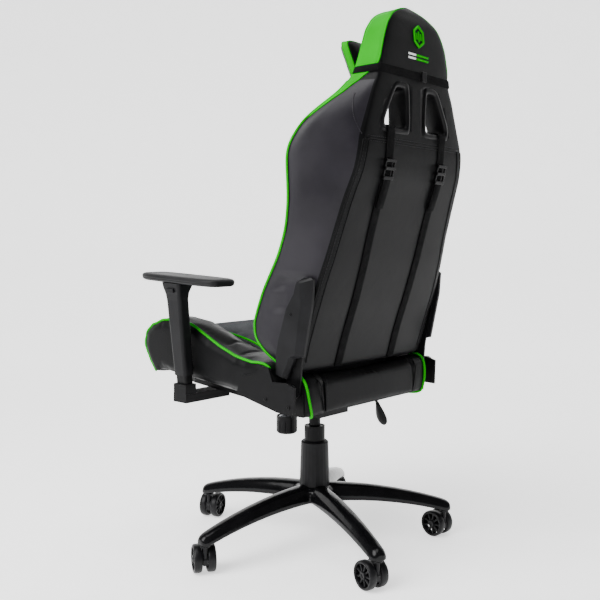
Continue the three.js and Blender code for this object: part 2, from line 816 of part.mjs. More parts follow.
// The plane that the seat lies in: it falls rearwards from a height on the lift axis.
function seatPlane(z) {
  return new THREE.Matrix4()
    .makeTranslation(0, 0, z)
    .multiply(new THREE.Matrix4().makeRotationX(-Math.atan(SEAT_SLOPE)));
}

// Height of the underside of the cushions at a depth y.
function cushionBottom(y) {
  return FRAME_Z + FRAME_TUBE / 2 + 1 - SEAT_SLOPE * y;
}

const SEAT_BACK_LIMIT = PIVOT_Y - ROLL_R - 1;

function seatInsert() {
  const outline = [
    [SEAT_BACK_LIMIT, cushionBottom(SEAT_BACK_LIMIT)],
    [SEAT_BACK_LIMIT, 452],
    [60, 470],
    [-60, 504],
    [-170, 521],
    [-250, 527],
    [-296, 518],
    [SEAT_FRONT_Y + 8, 492],
    [SEAT_FRONT_Y + 10, 465],
    [-300, 425],
    [-270, cushionBottom(-270)],
  ];
  return prism(outline, -INSERT_HALF_WIDTH, INSERT_HALF_WIDTH, "side");
}

// A side bolster: its outline seen from the side, narrower along its crest.
function seatBolster(side) {
  const outline = [
    [BOLSTER_REAR_Y, cushionBottom(BOLSTER_REAR_Y)],
    [BOLSTER_REAR_Y, 466],
    [81, 479],
    [40, 483],
    [1, 489],
    [-56, 508],
    [-115, 536],
    [-156, 554],
    [-215, 560],
    [-260, 556],
    [-300, 540],
    [-324, 520],
    [SEAT_FRONT_Y, 495],
    [-328, 473],
    [-311, 441],
    [-291, 416],
    [-262, cushionBottom(-262)],
  ];
  const inner = INSERT_HALF_WIDTH + 1;
  const full = prism(outline, side * inner, side * SEAT_HALF_WIDTH, "side");
  const slope = [
    [side * (inner - 5), 480],
    [side * (inner + 45), 620],
    [side * (inner - 5), 620],
  ];
  return cut(full, prism(slope, SEAT_FRONT_Y - 20, BOLSTER_REAR_Y + 20, "front"));
}

// The padded roll across the back of the seat, hollow for the recliner shaft, with a skirt that
// hangs over the frame's rear rail.
function seatRearRoll() {
  const outline = [
    ...arc(PIVOT_Y, PIVOT_Z, ROLL_R, 0, 180, 12),
    [PIVOT_Y - ROLL_R + 1, cushionBottom(PIVOT_Y) + 2],
    [FRAME_REAR_Y + 1.5, cushionBottom(PIVOT_Y) + 2],
    [FRAME_REAR_Y + 1.5, SKIRT_BOTTOM_Z],
    [FRAME_REAR_Y + 8, SKIRT_BOTTOM_Z],
  ];
  const hole = circle(PIVOT_Y, PIVOT_Z, SHAFT_R + 1, 16);
  return prism(outline, -ROLL_HALF_WIDTH, ROLL_HALF_WIDTH, "side", [hole]);
}

// The plastic shield over the recliner's lower bracket.
function sideShield(side) {
  const outline = [
    [4, 404],
    [60, 392],
    [125, 378],
    [172, 376],
    [174, 436],
    [150, 443],
    [112, 441],
    [100, 470],
    [80, 472],
    [58, 453],
    [18, 445],
  ];
  const inner = SEAT_HALF_WIDTH + 0.6;
  return prism(outline, side * inner, side * (inner + SHIELD_THICKNESS), "side");
}

// ---------------------------------------------------------------- recliner
function reclinerShaft() {
  const half = ARM_X + ARM_THICKNESS + 0.2;
  return crossRod(SHAFT_R, -half, half, PIVOT_Y, PIVOT_Z);
}

function reclineLever() {
  const inner = -(SEAT_HALF_WIDTH + 0.6 + SHIELD_THICKNESS + 1);
  const outer = inner - RECLINE_LEVER_THICKNESS;
  const hub = prism(circle(PIVOT_Y, PIVOT_Z, RECLINE_LEVER_HUB_R, 24), inner, outer, "side");
  const handle = prism(
    [
      [PIVOT_Y - 4, PIVOT_Z + 16],
      [PIVOT_Y - 60, PIVOT_Z + 14],
      [PIVOT_Y - 128, PIVOT_Z + 22],
      [PIVOT_Y - 142, PIVOT_Z + 14],
      [PIVOT_Y - 138, PIVOT_Z + 2],
      [PIVOT_Y - 70, PIVOT_Z - 8],
      [PIVOT_Y - 4, PIVOT_Z - 14],
    ],
    inner - 3,
    outer,
    "side",
  );
  return join(hub, handle);
}

// The moulded cover of one recliner arm: its rear edge is bevelled off towards the outer face.
function armCover(side) {
  const inner = [
    [108, 453],
    [109, 498],
    [116, 530],
    [138, 597],
    [160, 631],
    [170, 655],
    [177, 661],
    [196, 662],
    [203, 658],
    [199, 607],
    [176, 497],
    [152, 491],
    [130, 446],
  ];
  const outer = [
    [110, 456],
    [111, 498],
    [118, 530],
    [140, 596],
    [161, 628],
    [166, 646],
    [170, 653],
    [174, 654],
    [177, 650],
    [179, 607],
    [163, 500],
    [148, 495],
    [127, 451],
  ];
  const ring = (outline, depth) =>
    outline.map(([y, z]) => new THREE.Vector3(side * (ARM_COVER_INNER_X + depth), y, z));
  return loft([ring(inner, 0), ring(inner, ARM_COVER_EDGE), ring(outer, ARM_COVER_THICKNESS)]);
}

// ---------------------------------------------------------------- backrest
// Rear surface of the backrest: depth y against height z.
const REAR_Y = [
  [455, 147],
  [524, 167],
  [569, 180],
  [605, 200],
  [693, 226],
  [745, 235],
  [823, 259],
  [880, 279],
  [920, 285],
  [1160, 285],
  [1200, 281],
  [1225, 268],
];
// Half width of the rear panel against height, as an offset from BACK_HALF_WIDTH.
const REAR_HALF_WIDTH = [
  [455, 0],
  [514, 0],
  [569, -5],
  [635, -8],
  [740, -23],
  [820, -31],
  [886, -42],
  [945, -47],
  [1001, -65],
  [1060, -87],
  [1072, -100],
  [1110, -103],
  [1156, -116],
  [1185, -132],
  [1205, -152],
  [1220, -180],
  [1230, -222],
];
// Front edge of the wings against height: offset from BACK_HALF_WIDTH, and depth.
const WING_X = [
  [492, 0],
  [560, 3],
  [627, 8],
  [707, 18],
  [763, 26],
  [820, 33],
  [911, 38],
  [933, 36],
  [972, 23],
  [997, 3],
  [1036, -42],
  [1075, -92],
  [1103, -106],
  [1135, -118],
  [1176, -132],
  [1206, -158],
  [1220, -186],
  [1230, -222],
];
const WING_Y = [
  [492, 60],
  [525, 25],
  [560, 25],
  [627, 56],
  [707, 112],
  [763, 140],
  [820, 153],
  [911, 153],
  [933, 158],
  [972, 178],
  [997, 195],
  [1036, 222],
  [1230, 222],
];
// Front surface of the middle of the shoulders and the head: thin round the belt holes.
const HEAD_FRONT_Y = [
  [1060, 244],
  [1100, 222],
];
const BELT_HOLE = [
  [38, 972],
  [114, 972],
  [116, 986],
  [78, 1050],
  [70, 1056],
  [40, 1056],
  [36, 986],
];

// Half width of the backrest at a height, from one of the two offset tables.
function halfWidth(table, z) {
  return BACK_HALF_WIDTH + between(table, z);
}

function backPanel() {
  const heights = [LOWER_BAR_TOP_Z + 1, 524, 569, 605, 693, 745, 823, 880, UPPER_BAR_Z - 1];
  const rear = heights.map((z) => [between(REAR_Y, z), z]);
  const front = heights.map((z) => [between(REAR_Y, z) - BACK_THICKNESS, z]).reverse();
  return prism([...rear, ...front], -PANEL_HALF_WIDTH, PANEL_HALF_WIDTH, "side");
}

function backWing(side) {
  const heights = [494, 524, 569, 605, 693, 745, 823, 880, HEAD_JOIN_Z - 1];
  const rings = heights.map((z) => {
    const rear = between(REAR_Y, z);
    const wingX = halfWidth(WING_X, z);
    const wingY = between(WING_Y, z);
    const flat = [
      [WING_INNER_X, rear],
      [Math.max(halfWidth(REAR_HALF_WIDTH, z), WING_INNER_X + 12), rear],
      [wingX, wingY + 12],
      [wingX - 8, wingY],
      [wingX - 32, wingY + 2],
      [WING_INNER_X, rear - BACK_THICKNESS],
    ];
    return flat.map(([x, y]) => new THREE.Vector3(side * x, y, z));
  });
  const footZ = LOWER_BAR_TOP_Z + 1;
  const foot = [
    [WING_INNER_X, between(REAR_Y, footZ)],
    [BACK_HALF_WIDTH, between(REAR_Y, footZ)],
    [BACK_HALF_WIDTH, WING_FOOT_Y + 4],
    [BACK_HALF_WIDTH - 2, WING_FOOT_Y],
    [BACK_HALF_WIDTH - 26, WING_FOOT_Y],
    [WING_INNER_X, WING_FOOT_Y],
  ];
  const wing = loft([foot.map(([x, y]) => new THREE.Vector3(side * x, y, footZ)), ...rings]);
  const recessX = ARM_X - 0.5;
  const recess = box(
    side > 0 ? recessX : -recessX - 50,
    side > 0 ? recessX + 50 : -recessX,
    RECESS_FRONT_Y,
    RECESS_FRONT_Y + 150,
    footZ - 5,
    RECESS_TOP_Z,
  );
  return cut(wing, recess);
}

// The shoulders and the head in one piece, with the two belt holes.
function backHead() {
  const heights = [HEAD_JOIN_Z, 972, 997, 1036, 1055, 1075, 1103, 1135, 1176, 1206, 1220, 1230];
  const rings = heights.map((z) => {
    const rear = between(REAR_Y, z);
    const rearX = halfWidth(REAR_HALF_WIDTH, z);
    const wingX = halfWidth(WING_X, z);
    const wingY = between(WING_Y, z);
    const chest = Math.min(wingX - 6, 140);
    const front = Math.min(rear - 10, between(HEAD_FRONT_Y, z));
    const half = [
      [rearX, rear],
      [wingX, wingY + 8],
      [wingX - 4, wingY],
      [Math.max(wingX - 34, chest), Math.min(wingY + 4, front)],
      [chest * 0.9, front],
    ];
    const left = half.map(([x, y]) => new THREE.Vector3(x, y, z));
    const right = half.map(([x, y]) => new THREE.Vector3(-x, y, z)).reverse();
    return [...left, ...right];
  });
  const cutters = [1, -1].map((side) => beltHole(side, BEZEL_WIDTH, 150, 320));
  return cut(loft(rings), ...cutters);
}

// The belt hole's outline grown by a margin, pushed through the backrest.
function beltHole(side, margin, y0, y1) {
  return prism(grown(BELT_HOLE, margin).map(([x, z]) => [side * x, z]), y0, y1, "front");
}

// Moves each corner of a convex outline outwards so that every edge moves by the margin.
function grown(outline, margin) {
  const count = outline.length;
  return outline.map(([u, v], i) => {
    const [pu, pv] = outline[(i + count - 1) % count];
    const [nu, nv] = outline[(i + 1) % count];
    const before = new THREE.Vector2(u - pu, v - pv).normalize();
    const after = new THREE.Vector2(nu - u, nv - v).normalize();
    const normalA = new THREE.Vector2(before.y, -before.x);
    const normalB = new THREE.Vector2(after.y, -after.x);
    const mitre = normalA.clone().add(normalB).normalize();
    const reach = margin / Math.max(mitre.dot(normalA), 0.5);
    return [u + mitre.x * reach, v + mitre.y * reach];
  });
}

function beltBezel(side) {
  const front = HEAD_FRONT_Y[0][1] - 4;
  const rear = between(REAR_Y, BELT_HOLE[0][1]) + 4;
  const outer = beltHole(side, BEZEL_WIDTH - GAP, front, rear);
  return cut(outer, beltHole(side, 0, front - 10, rear + 10));
}

// A tube frame: two side posts in the gaps beside the centre foam, tied by two crossbars, with
// the flat recliner arms at its lower corners.
function backFrame() {
  const postX = (PANEL_HALF_WIDTH + WING_INNER_X) / 2;
  const half = SIDE_TUBE_R - 0.5;
  const post = [LOWER_BAR_Z, 524, 605, 693, 823, 880, HEAD_JOIN_Z - 2].map((z) => [
    between(REAR_Y, z) - SIDE_TUBE_R - 14,
    z,
  ]);
  const rear = post.map(([y, z]) => [y + SIDE_TUBE_R, z]);
  const front = post.map(([y, z]) => [y - SIDE_TUBE_R, z]).reverse();
  const posts = [1, -1].map((side) => {
    return prism([...rear, ...front], side * postX - half, side * postX + half, "side");
  });
  const [lowY, highY] = [post[0][0], post.at(-1)[0]];
  const armOuter = ARM_X + ARM_THICKNESS;
  const lowerBar = box(-armOuter, armOuter, lowY - 8, lowY + 8, LOWER_BAR_Z, LOWER_BAR_TOP_Z);
  const upperBar = box(-postX, postX, highY - 9, highY + 9, UPPER_BAR_Z, HEAD_JOIN_Z - 2);
  const armOutline = [
    ...arc(PIVOT_Y, PIVOT_Z, ARM_EYE_R, 160, 360, 12),
    [PIVOT_Y + ARM_EYE_R + 4, LOWER_BAR_TOP_Z],
    [186, 600],
    [190, 640],
    [170, 640],
    [142, 590],
    [121, 510],
  ];
  const arms = [1, -1].map((side) => {
    return prism(armOutline, side * ARM_X, side * armOuter, "side");
  });
  const hole = crossRod(SHAFT_R + GAP, -armOuter - 5, armOuter + 5, PIVOT_Y, PIVOT_Z);
  return cut(join(...posts, lowerBar, upperBar, ...arms), hole);
}

// A ribbon outline of constant thickness along a path.
function ribbon(path, thickness) {
  const offset = (sign) =>
    path.map(([u, v], i) => {
      const [au, av] = path[Math.max(i - 1, 0)];
      const [bu, bv] = path[Math.min(i + 1, path.length - 1)];
      const along = new THREE.Vector2(bu - au, bv - av).normalize();
      return [u - (sign * along.y * thickness) / 2, v + (sign * along.x * thickness) / 2];
    });
  return [...offset(1), ...offset(-1).reverse()];
}

// The webbing strap that holds the lumbar cushion: up the back, over the bezel, into the hole.
function cushionStrap(side) {
  const stand = STRAP_THICKNESS / 2 + 1.2;
  const lip = BELT_HOLE[0][1];
  const climb = [462, 524, 569, 605, 693, 745, 823, 880, 920, 944].map((z) => [
    between(REAR_Y, z) + stand,
    z,
  ]);
  const over = [
    [291, 951],
    [291.5, lip - 1],
    [287, lip + 3],
    [HEAD_FRONT_Y[0][1] - 8, lip + 3],
  ];
  const [from, to] = [side * (STRAP_X - STRAP_WIDTH / 2), side * (STRAP_X + STRAP_WIDTH / 2)];
  const strap = prism(ribbon([...climb, ...over], STRAP_THICKNESS), from, to, "side");
  const buckleHalf = STRAP_WIDTH / 2 + 5;
  const buckle = prism(
    ribbon([862, 880, 904].map((z) => [between(REAR_Y, z) + stand + 3, z]), 6),
    side * (STRAP_X - buckleHalf),
    side * (STRAP_X + buckleHalf),
    "side",
  );
  return join(strap, buckle);
}

// A cushion lying against the backrest. The crown gives its size against its depth, and the
// taper makes it wider towards the top.
function pillow(width, height, thickness, corner, crown, taper) {
  const rings = crown.map(([depth, size]) =>
    roundedRect(width * size, height * size, corner * size).map(
      ([u, v]) => new THREE.Vector3(u * (1 + taper * v), depth * thickness, v),
    ),
  );
  return loft(rings);
}

const LENS_CROWN = [
  [-0.5, 0.4],
  [-0.35, 0.7],
  [-0.12, 0.95],
  [0, 1],
  [0.12, 0.95],
  [0.35, 0.7],
  [0.5, 0.4],
];
const SLAB_CROWN = [
  [-0.5, 0.8],
  [-0.3, 0.95],
  [0, 1],
  [0.3, 0.95],
  [0.5, 0.8],
];

function headPillow() {
  return pillow(232, 100, 62, 24, LENS_CROWN, 0.0008).translate(0, 185, 1114);
}

function lumbarPillow() {
  const y = between(REAR_Y, LUMBAR_Z) - BACK_THICKNESS - 50;
  return pillow(300, 170, 78, 40, SLAB_CROWN, 0).rotateX(-0.35).translate(0, y, LUMBAR_Z);
}

// ---------------------------------------------------------------- armrests
// The leaning frame of one armrest, from the foot of its post.
function armMatrix(side) {
  return new THREE.Matrix4()
    .makeTranslation(side * POST_X, POST_Y, BAR_TOP_Z - BAR_THICKNESS / 2)
    .multiply(new THREE.Matrix4().makeRotationY(side * POST_LEAN));
}

function armBracket(side) {
  const [inner, outer] = [side * BAR_INNER_X, side * (POST_X + POST_WIDTH / 2 + BAR_OVERHANG)];
  const bar = box(
    Math.min(inner, outer),
    Math.max(inner, outer),
    POST_Y - BAR_DEPTH / 2,
    POST_Y + BAR_DEPTH / 2,
    BAR_TOP_Z - BAR_THICKNESS,
    BAR_TOP_Z,
  );
  const footX = side * (POST_X + 3.5);
  const block = box(
    footX - FOOT_HALF_WIDTH,
    footX + FOOT_HALF_WIDTH,
    POST_Y - FOOT_DEPTH / 2,
    POST_Y + FOOT_DEPTH / 2,
    BAR_TOP_Z - BAR_THICKNESS,
    FOOT_TOP_Z,
  );
  const post = prism(roundedRect(POST_WIDTH, POST_DEPTH, 4, 0, 0, 2), 0, POST_LENGTH, "plan");
  return join(bar, block, post.applyMatrix4(armMatrix(side)));
}

// Height of the underside of the pad at a depth y.
function padBottom(y) {
  return PAD_BOTTOM_Z - PAD_SLOPE * (y - PAD_CENTRE_Y);
}

function armSleeve(side) {
  const foot = BAR_TOP_Z - BAR_THICKNESS / 2;
  const width = POST_WIDTH + 2 * SLEEVE_WALL + 0.6;
  const depth = POST_DEPTH + 2 * SLEEVE_WALL + 0.6;
  const levels = [
    [SLEEVE_BOTTOM_Z, width, depth, 0],
    [SLEEVE_FLARE_Z, width + 1.5, depth + 7, 0],
    [SLEEVE_FLARE_Z + 14, width + 6, depth + 9, -1],
    [PAD_BOTTOM_Z - 5, width + 18, depth + 17, -4],
    [PAD_BOTTOM_Z, width + 20, depth + 19, -4],
  ];
  const matrix = armMatrix(side);
  const rings = levels.map(([z, w, d, inset], level) =>
    roundedRect(w, d, 7, side * inset).map(([u, v]) => {
      const point = new THREE.Vector3(u, v, z - foot).applyMatrix4(matrix);
      if (level === levels.length - 1) point.z = padBottom(point.y) - GAP;
      return point;
    }),
  );
  const clear = 0.6;
  const bore = prism(
    roundedRect(POST_WIDTH + clear, POST_DEPTH + clear, 4 + clear / 2, 0, 0, 2),
    SLEEVE_BOTTOM_Z - foot - 20,
    POST_LENGTH + 66,
    "plan",
  );
  const pocket = buttonBlock(side, GAP, 6);
  return cut(loft(rings), bore.applyMatrix4(matrix), pocket);
}

// The height button sits in the outer side of the sleeve's head and is pressed inwards.
function buttonBlock(side, margin = 0, travel = 0) {
  const outer = POST_WIDTH / 2 + SLEEVE_WALL + 8 + (margin ? 20 : 0);
  const inner = POST_WIDTH / 2 + SLEEVE_WALL + 8 - BUTTON_DEPTH - margin - travel;
  const [halfY, halfZ] = [12 + margin, 4.5 + margin];
  const z = PAD_BOTTOM_Z - (BAR_TOP_Z - BAR_THICKNESS / 2) - 13;
  const [x0, x1] = side > 0 ? [inner, outer] : [-outer, -inner];
  return box(x0, x1, -halfY, halfY, z - halfZ, z + halfZ).applyMatrix4(armMatrix(side));
}

function armPad(side) {
  const levels = [
    [0, -8],
    [4, 0],
    [PAD_THICKNESS - 5, 0],
    [PAD_THICKNESS, -7],
  ];
  const rings = levels.map(([z, shrink]) =>
    roundedRect(PAD_WIDTH + shrink, PAD_LENGTH + shrink, 30 + shrink / 2, 0, 0, 4).map(
      ([u, v]) => new THREE.Vector3(u, v, z),
    ),
  );
  const laid = new THREE.Matrix4()
    .makeTranslation(side * PAD_CENTRE_X, PAD_CENTRE_Y, PAD_BOTTOM_Z)
    .multiply(new THREE.Matrix4().makeRotationX(-Math.atan(PAD_SLOPE)));
  return loft(rings).applyMatrix4(laid);
}

// ---------------------------------------------------------------- assembly
place("star_base", starBase(), glossNylon);
for (let i = 0; i < ARM_COUNT; i += 1) caster(i);
place("stand_tube", standTube(), blackSteel);
place("guide_bushing", guideBushing(), satinPlastic);
place("dust_cover", dustCover(), satinPlastic);
place("piston_rod", pistonRod(), chrome);
place("thrust_bearing", thrustBearing(), steel);
place("pressure_cylinder", pressureCylinder(), blackSteel);
place("release_pin", releasePin(), steel);

place("mechanism_housing", mechanismHousing(), blackSteel);
place("tilt_pin", tiltPin(), steel);
place("tilt_plate", tiltPlate(), blackSteel);
place("tension_spring", tensionSpring(), steel);
place("tension_knob", tensionKnob(), satinPlastic);
place("tilt_lock_slide", lockSlide(), steel);
place("height_lever", heightLever(), satinPlastic);

place("seat_frame", seatFrame(), blackSteel);
place("seat_insert", seatInsert(), greyFabric);
place("seat_rear_roll", seatRearRoll(), blackLeather);
place("recliner_shaft", reclinerShaft(), steel);
place("recline_lever", reclineLever(), satinPlastic);
place("back_frame", backFrame(), blackSteel);
place("back_panel", backPanel(), blackLeather);
place("back_head", backHead(), blackLeather);
place("head_pillow", headPillow(), greenLeather);
place("lumbar_pillow", lumbarPillow(), blackLeather);

for (const [label, side] of [["left", 1], ["right", -1]]) {
  place(`seat_bolster_${label}`, seatBolster(side), blackLeather);
  place(`side_shield_${label}`, sideShield(side), satinPlastic);
  place(`arm_cover_${label}`, armCover(side), satinPlastic);
  place(`back_wing_${label}`, backWing(side), blackLeather);
  place(`belt_bezel_${label}`, beltBezel(side), satinPlastic);
  place(`cushion_strap_${label}`, cushionStrap(side), webbing);
  place(`armrest_bracket_${label}`, armBracket(side), blackSteel);
  place(`armrest_sleeve_${label}`, armSleeve(side), satinPlastic);
  place(`armrest_button_${label}`, buttonBlock(side), satinPlastic);
  place(`armrest_pad_${label}`, armPad(side), rubber);
}

// The origin is the middle of the footprint, on the floor.
chair.updateMatrixWorld(true);
const bounds = new THREE.Box3().setFromObject(chair, true);
const middle = bounds.getCenter(new THREE.Vector3());
chair.position.set(-middle.x, -middle.y, -bounds.min.z);

export default chair;
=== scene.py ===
import json
import math
import bmesh
import bpy
from mathutils import Matrix, Vector
from mathutils.bvhtree import BVHTree


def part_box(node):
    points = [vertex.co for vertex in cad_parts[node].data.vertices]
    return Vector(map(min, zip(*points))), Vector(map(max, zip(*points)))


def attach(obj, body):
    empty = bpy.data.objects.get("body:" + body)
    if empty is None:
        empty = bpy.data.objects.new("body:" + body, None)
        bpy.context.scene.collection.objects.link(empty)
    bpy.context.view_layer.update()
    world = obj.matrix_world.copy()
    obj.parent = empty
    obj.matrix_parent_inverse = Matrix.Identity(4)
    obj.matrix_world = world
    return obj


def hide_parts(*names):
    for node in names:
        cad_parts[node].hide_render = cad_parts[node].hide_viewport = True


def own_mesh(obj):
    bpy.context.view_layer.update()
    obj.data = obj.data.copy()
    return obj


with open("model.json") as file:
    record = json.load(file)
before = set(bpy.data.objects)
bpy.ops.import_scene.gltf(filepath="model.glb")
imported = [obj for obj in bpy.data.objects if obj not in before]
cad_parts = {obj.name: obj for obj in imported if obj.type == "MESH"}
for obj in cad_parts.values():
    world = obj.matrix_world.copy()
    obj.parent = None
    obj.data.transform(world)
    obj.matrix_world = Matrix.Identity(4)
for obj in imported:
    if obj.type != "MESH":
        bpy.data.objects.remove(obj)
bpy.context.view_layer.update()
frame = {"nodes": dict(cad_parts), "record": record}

# %% [markdown]
# This notebook dresses the CAD model of a racing-style gaming chair. The CAD already has the
# right sizes and joints, so each cell either gives a part its finish or draws a softer, more
# detailed piece in its place, hung on the same moving body.
#
# On a real chair everything is set out from the gas lift, which stands in the middle of the base.
# The pieces could be drawn in world coordinates, but then each number would carry the place of
# the axis with it. So all the sizes below are in millimetres from that axis: x to the sitter's
# left, y towards the back, z up from the floor.

# %% Measuring from the lift axis
tube_low, tube_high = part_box("stand_tube")
AXIS_X = (tube_low[0] + tube_high[0]) / 2
AXIS_Y = (tube_low[1] + tube_high[1]) / 2


def at(x, y, z):
    """A point in millimetres from the lift axis."""
    return Vector((AXIS_X + x / 1000, AXIS_Y + y / 1000, z / 1000))


print("lift axis at", round(AXIS_X, 4), round(AXIS_Y, 4))

# %% [markdown]
# The chair is seen from behind its left side, from about the height of its armrests. A camera
# can be aimed by hand, with a tracking constraint or with a direction that is turned into a
# rotation. The direction is used here, because it needs no extra object to aim at.

# %% Camera
LENS_MM, SENSOR_MM = 49.66, 36
PITCH_DEGREES = 4.1
camera_data = bpy.data.cameras.new("camera")
camera_data.lens = LENS_MM
camera_data.sensor_width = SENSOR_MM
camera = bpy.data.objects.new("camera", camera_data)
bpy.context.collection.objects.link(camera)
camera.location = at(1513.1, 1296.4, 736.9)
pitch = math.radians(PITCH_DEGREES)
looking = Vector((-0.7476 * math.cos(pitch), -0.6642 * math.cos(pitch), -math.sin(pitch)))
camera.rotation_euler = looking.to_track_quat("-Z", "Y").to_euler()
bpy.context.scene.camera = camera
print("camera at", [round(v, 3) for v in camera.location])


# %% [markdown]
# A studio shot of a black chair needs large, soft sources, since black leather and plastic only
# show what they mirror. Small lamps would leave hard spots. Two area lights stand in for
# softboxes, and a sun with a wide angle fills in from the left with soft shadows.

# %% Lamps
def area_light(name, place, target, size, power):
    """A softbox of a size in metres, aimed at a point."""
    data = bpy.data.lights.new(name, "AREA")
    data.shape = "RECTANGLE"
    data.size, data.size_y = size
    data.energy = power
    light = bpy.data.objects.new(name, data)
    bpy.context.collection.objects.link(light)
    light.location = place
    light.rotation_euler = (target - place).to_track_quat("-Z", "Y").to_euler()
    return light


area_light("key", at(2300, -300, 2000), at(0, 0, 600), (1.6, 2.4), 60)
area_light("top", at(300, 200, 3000), at(0, 0, 500), (2.0, 2.0), 50)
SUN_STRENGTH, SUN_SPREAD_DEGREES = 3.0, 50
sun_data = bpy.data.lights.new("sun", "SUN")
sun_data.energy = SUN_STRENGTH
sun_data.angle = math.radians(SUN_SPREAD_DEGREES)
sun = bpy.data.objects.new("sun", sun_data)
bpy.context.collection.objects.link(sun)
sun.rotation_euler = Vector((-0.72, 0.12, -0.70)).to_track_quat("-Z", "Y").to_euler()
print("three lamps")

# %% [markdown]
# The walls of a white studio look bright but light the chair only a little. One plain world
# colour can't do both. So the world is a mix of two backgrounds: rays that go straight to the
# camera meet a pale one, and all other rays meet a dim one.

# %% World
LIGHT_LEVEL, BACKDROP_LEVEL = 0.17, 1.4
world = bpy.data.worlds.new("studio")
world.use_nodes = True
nodes, links = world.node_tree.nodes, world.node_tree.links
dim = nodes["Background"]
dim.inputs["Color"].default_value = (1.0, 1.0, 1.0, 1)
dim.inputs["Strength"].default_value = LIGHT_LEVEL
bpy.context.scene.world = world
pale = nodes.new("ShaderNodeBackground")
pale.inputs["Strength"].default_value = BACKDROP_LEVEL
seen = nodes.new("ShaderNodeLightPath")
choice = nodes.new("ShaderNodeMixShader")
links.new(seen.outputs["Is Camera Ray"], choice.inputs[0])
links.new(dim.outputs[0], choice.inputs[1])
links.new(pale.outputs[0], choice.inputs[2])
links.new(choice.outputs[0], nodes["World Output"].inputs["Surface"])
print("world light", LIGHT_LEVEL, "backdrop", BACKDROP_LEVEL)

# %% [markdown]
# No real surface is one flat colour: leather is cloudy, plastic has a spark grain, cloth has a
# weave. Pictures of those could be wrapped round the pieces, but they would need unwrapping and
# would stretch. Noise that is worked out in the shader needs neither, so these helpers add a
# texture node and turn it into a colour, a number or a bump.

# %% Texture helpers
def new_look(name):
    """An empty material, its node tree and its shader."""
    look = bpy.data.materials.new(name)
    look.use_nodes = True
    return look, look.node_tree, look.node_tree.nodes["Principled BSDF"]


def texture(tree, kind, scale, **settings):
    """A texture node on object coordinates, its scale in cells per metre."""
    coords = tree.nodes.new("ShaderNodeTexCoord")
    node = tree.nodes.new(kind)
    node.inputs["Scale"].default_value = scale
    for key, value in settings.items():
        node.inputs[key].default_value = value
    tree.links.new(coords.outputs["Object"], node.inputs["Vector"])
    return node


def ramp(tree, source, low, high, start=0.35, end=0.65):
    """Turns a texture's value into a colour between two."""
    node = tree.nodes.new("ShaderNodeValToRGB")
    node.color_ramp.elements[0].color = (*low, 1)
    node.color_ramp.elements[1].color = (*high, 1)
    node.color_ramp.elements[0].position = start
    node.color_ramp.elements[1].position = end
    tree.links.new(source, node.inputs["Fac"])
    return node.outputs["Color"]


def spread(tree, source, low, high):
    """Turns a texture's value into a number between two."""
    node = tree.nodes.new("ShaderNodeMapRange")
    node.inputs["From Min"].default_value = 0.3
    node.inputs["From Max"].default_value = 0.7
    node.inputs["To Min"].default_value = low
    node.inputs["To Max"].default_value = high
    tree.links.new(source, node.inputs["Value"])
    return node.outputs["Result"]


def bump(tree, shader, heights):
    """Stacks bumps on the shader's normal: (value socket, strength, distance in metres)."""
    last = None
    for value, strength, distance in heights:
        node = tree.nodes.new("ShaderNodeBump")
        node.inputs["Strength"].default_value = strength
        node.inputs["Distance"].default_value = distance
        tree.links.new(value, node.inputs["Height"])
        if last:
            tree.links.new(last, node.inputs["Normal"])
        last = node.outputs["Normal"]
    tree.links.new(last, shader.inputs["Normal"])

# %% [markdown]
# The cover is coated leather. It is dark, with fine pores and long soft creases, and it shines
# only a little. Both could be modelled as real dents, but they are finer than a millimetre, so
# two bumps do it. Piping and thread are the same stuff with a coarser grain and a brighter dye.

# %% Leather, piping and thread
def leather(name, dark, light, roughness, grain=850, gloss=0.22):
    """Coated leather: cloudy colour, fine pores and long soft creases."""
    look, tree, shader = new_look(name)
    cloud = texture(tree, "ShaderNodeTexNoise", 9, Detail=4.0)
    pores = texture(tree, "ShaderNodeTexVoronoi", grain)
    creases = texture(tree, "ShaderNodeTexNoise", 34, Detail=5.0, Distortion=0.6)
    tree.links.new(ramp(tree, cloud.outputs[0], dark, light), shader.inputs["Base Color"])
    tree.links.new(spread(tree, cloud.outputs[0], *roughness), shader.inputs["Roughness"])
    shader.inputs["Specular IOR Level"].default_value = gloss
    bump(tree, shader, [(pores.outputs["Distance"], 0.3, 0.0004), (creases.outputs[0], 0.22, 0.002)])
    return look


black_leather = leather(
    "black_leather", (0.0020, 0.0021, 0.0023), (0.0042, 0.0043, 0.0047), (0.38, 0.48), gloss=0.09
)
# The side panels' leather is the black leather made lighter and violet-grey: painted light for the light
# that falls on the chair's sides.
side_leather = leather(
    "side_leather", (0.0085, 0.0075, 0.0105), (0.0140, 0.0125, 0.0165), (0.36, 0.46)
)
green_leather = leather("green_leather", (0.0, 0.25, 0.0), (0.0, 0.32, 0.001), (0.5, 0.65), 600, 0.04)
green_piping = leather("green_piping", (0.0, 0.28, 0.0), (0.0, 0.35, 0.001), (0.55, 0.7), 500, 0.04)
black_thread = leather("black_thread", (0.016, 0.016, 0.018), (0.035, 0.035, 0.038), (0.5, 0.7), 2400)
pale_thread = leather("pale_thread", (0.62, 0.63, 0.62), (0.78, 0.79, 0.78), (0.5, 0.7), 2400)
print("six leathers and threads")

# %% [markdown]
# The seat's middle is grey cloth, and the straps are webbing. Both are plain weaves. Every
# thread could be drawn, but at this distance two crossed sets of ridges with darker gaps give
# the same look for much less.

# %% Cloth and webbing
DULL = (0.8, 0.95)


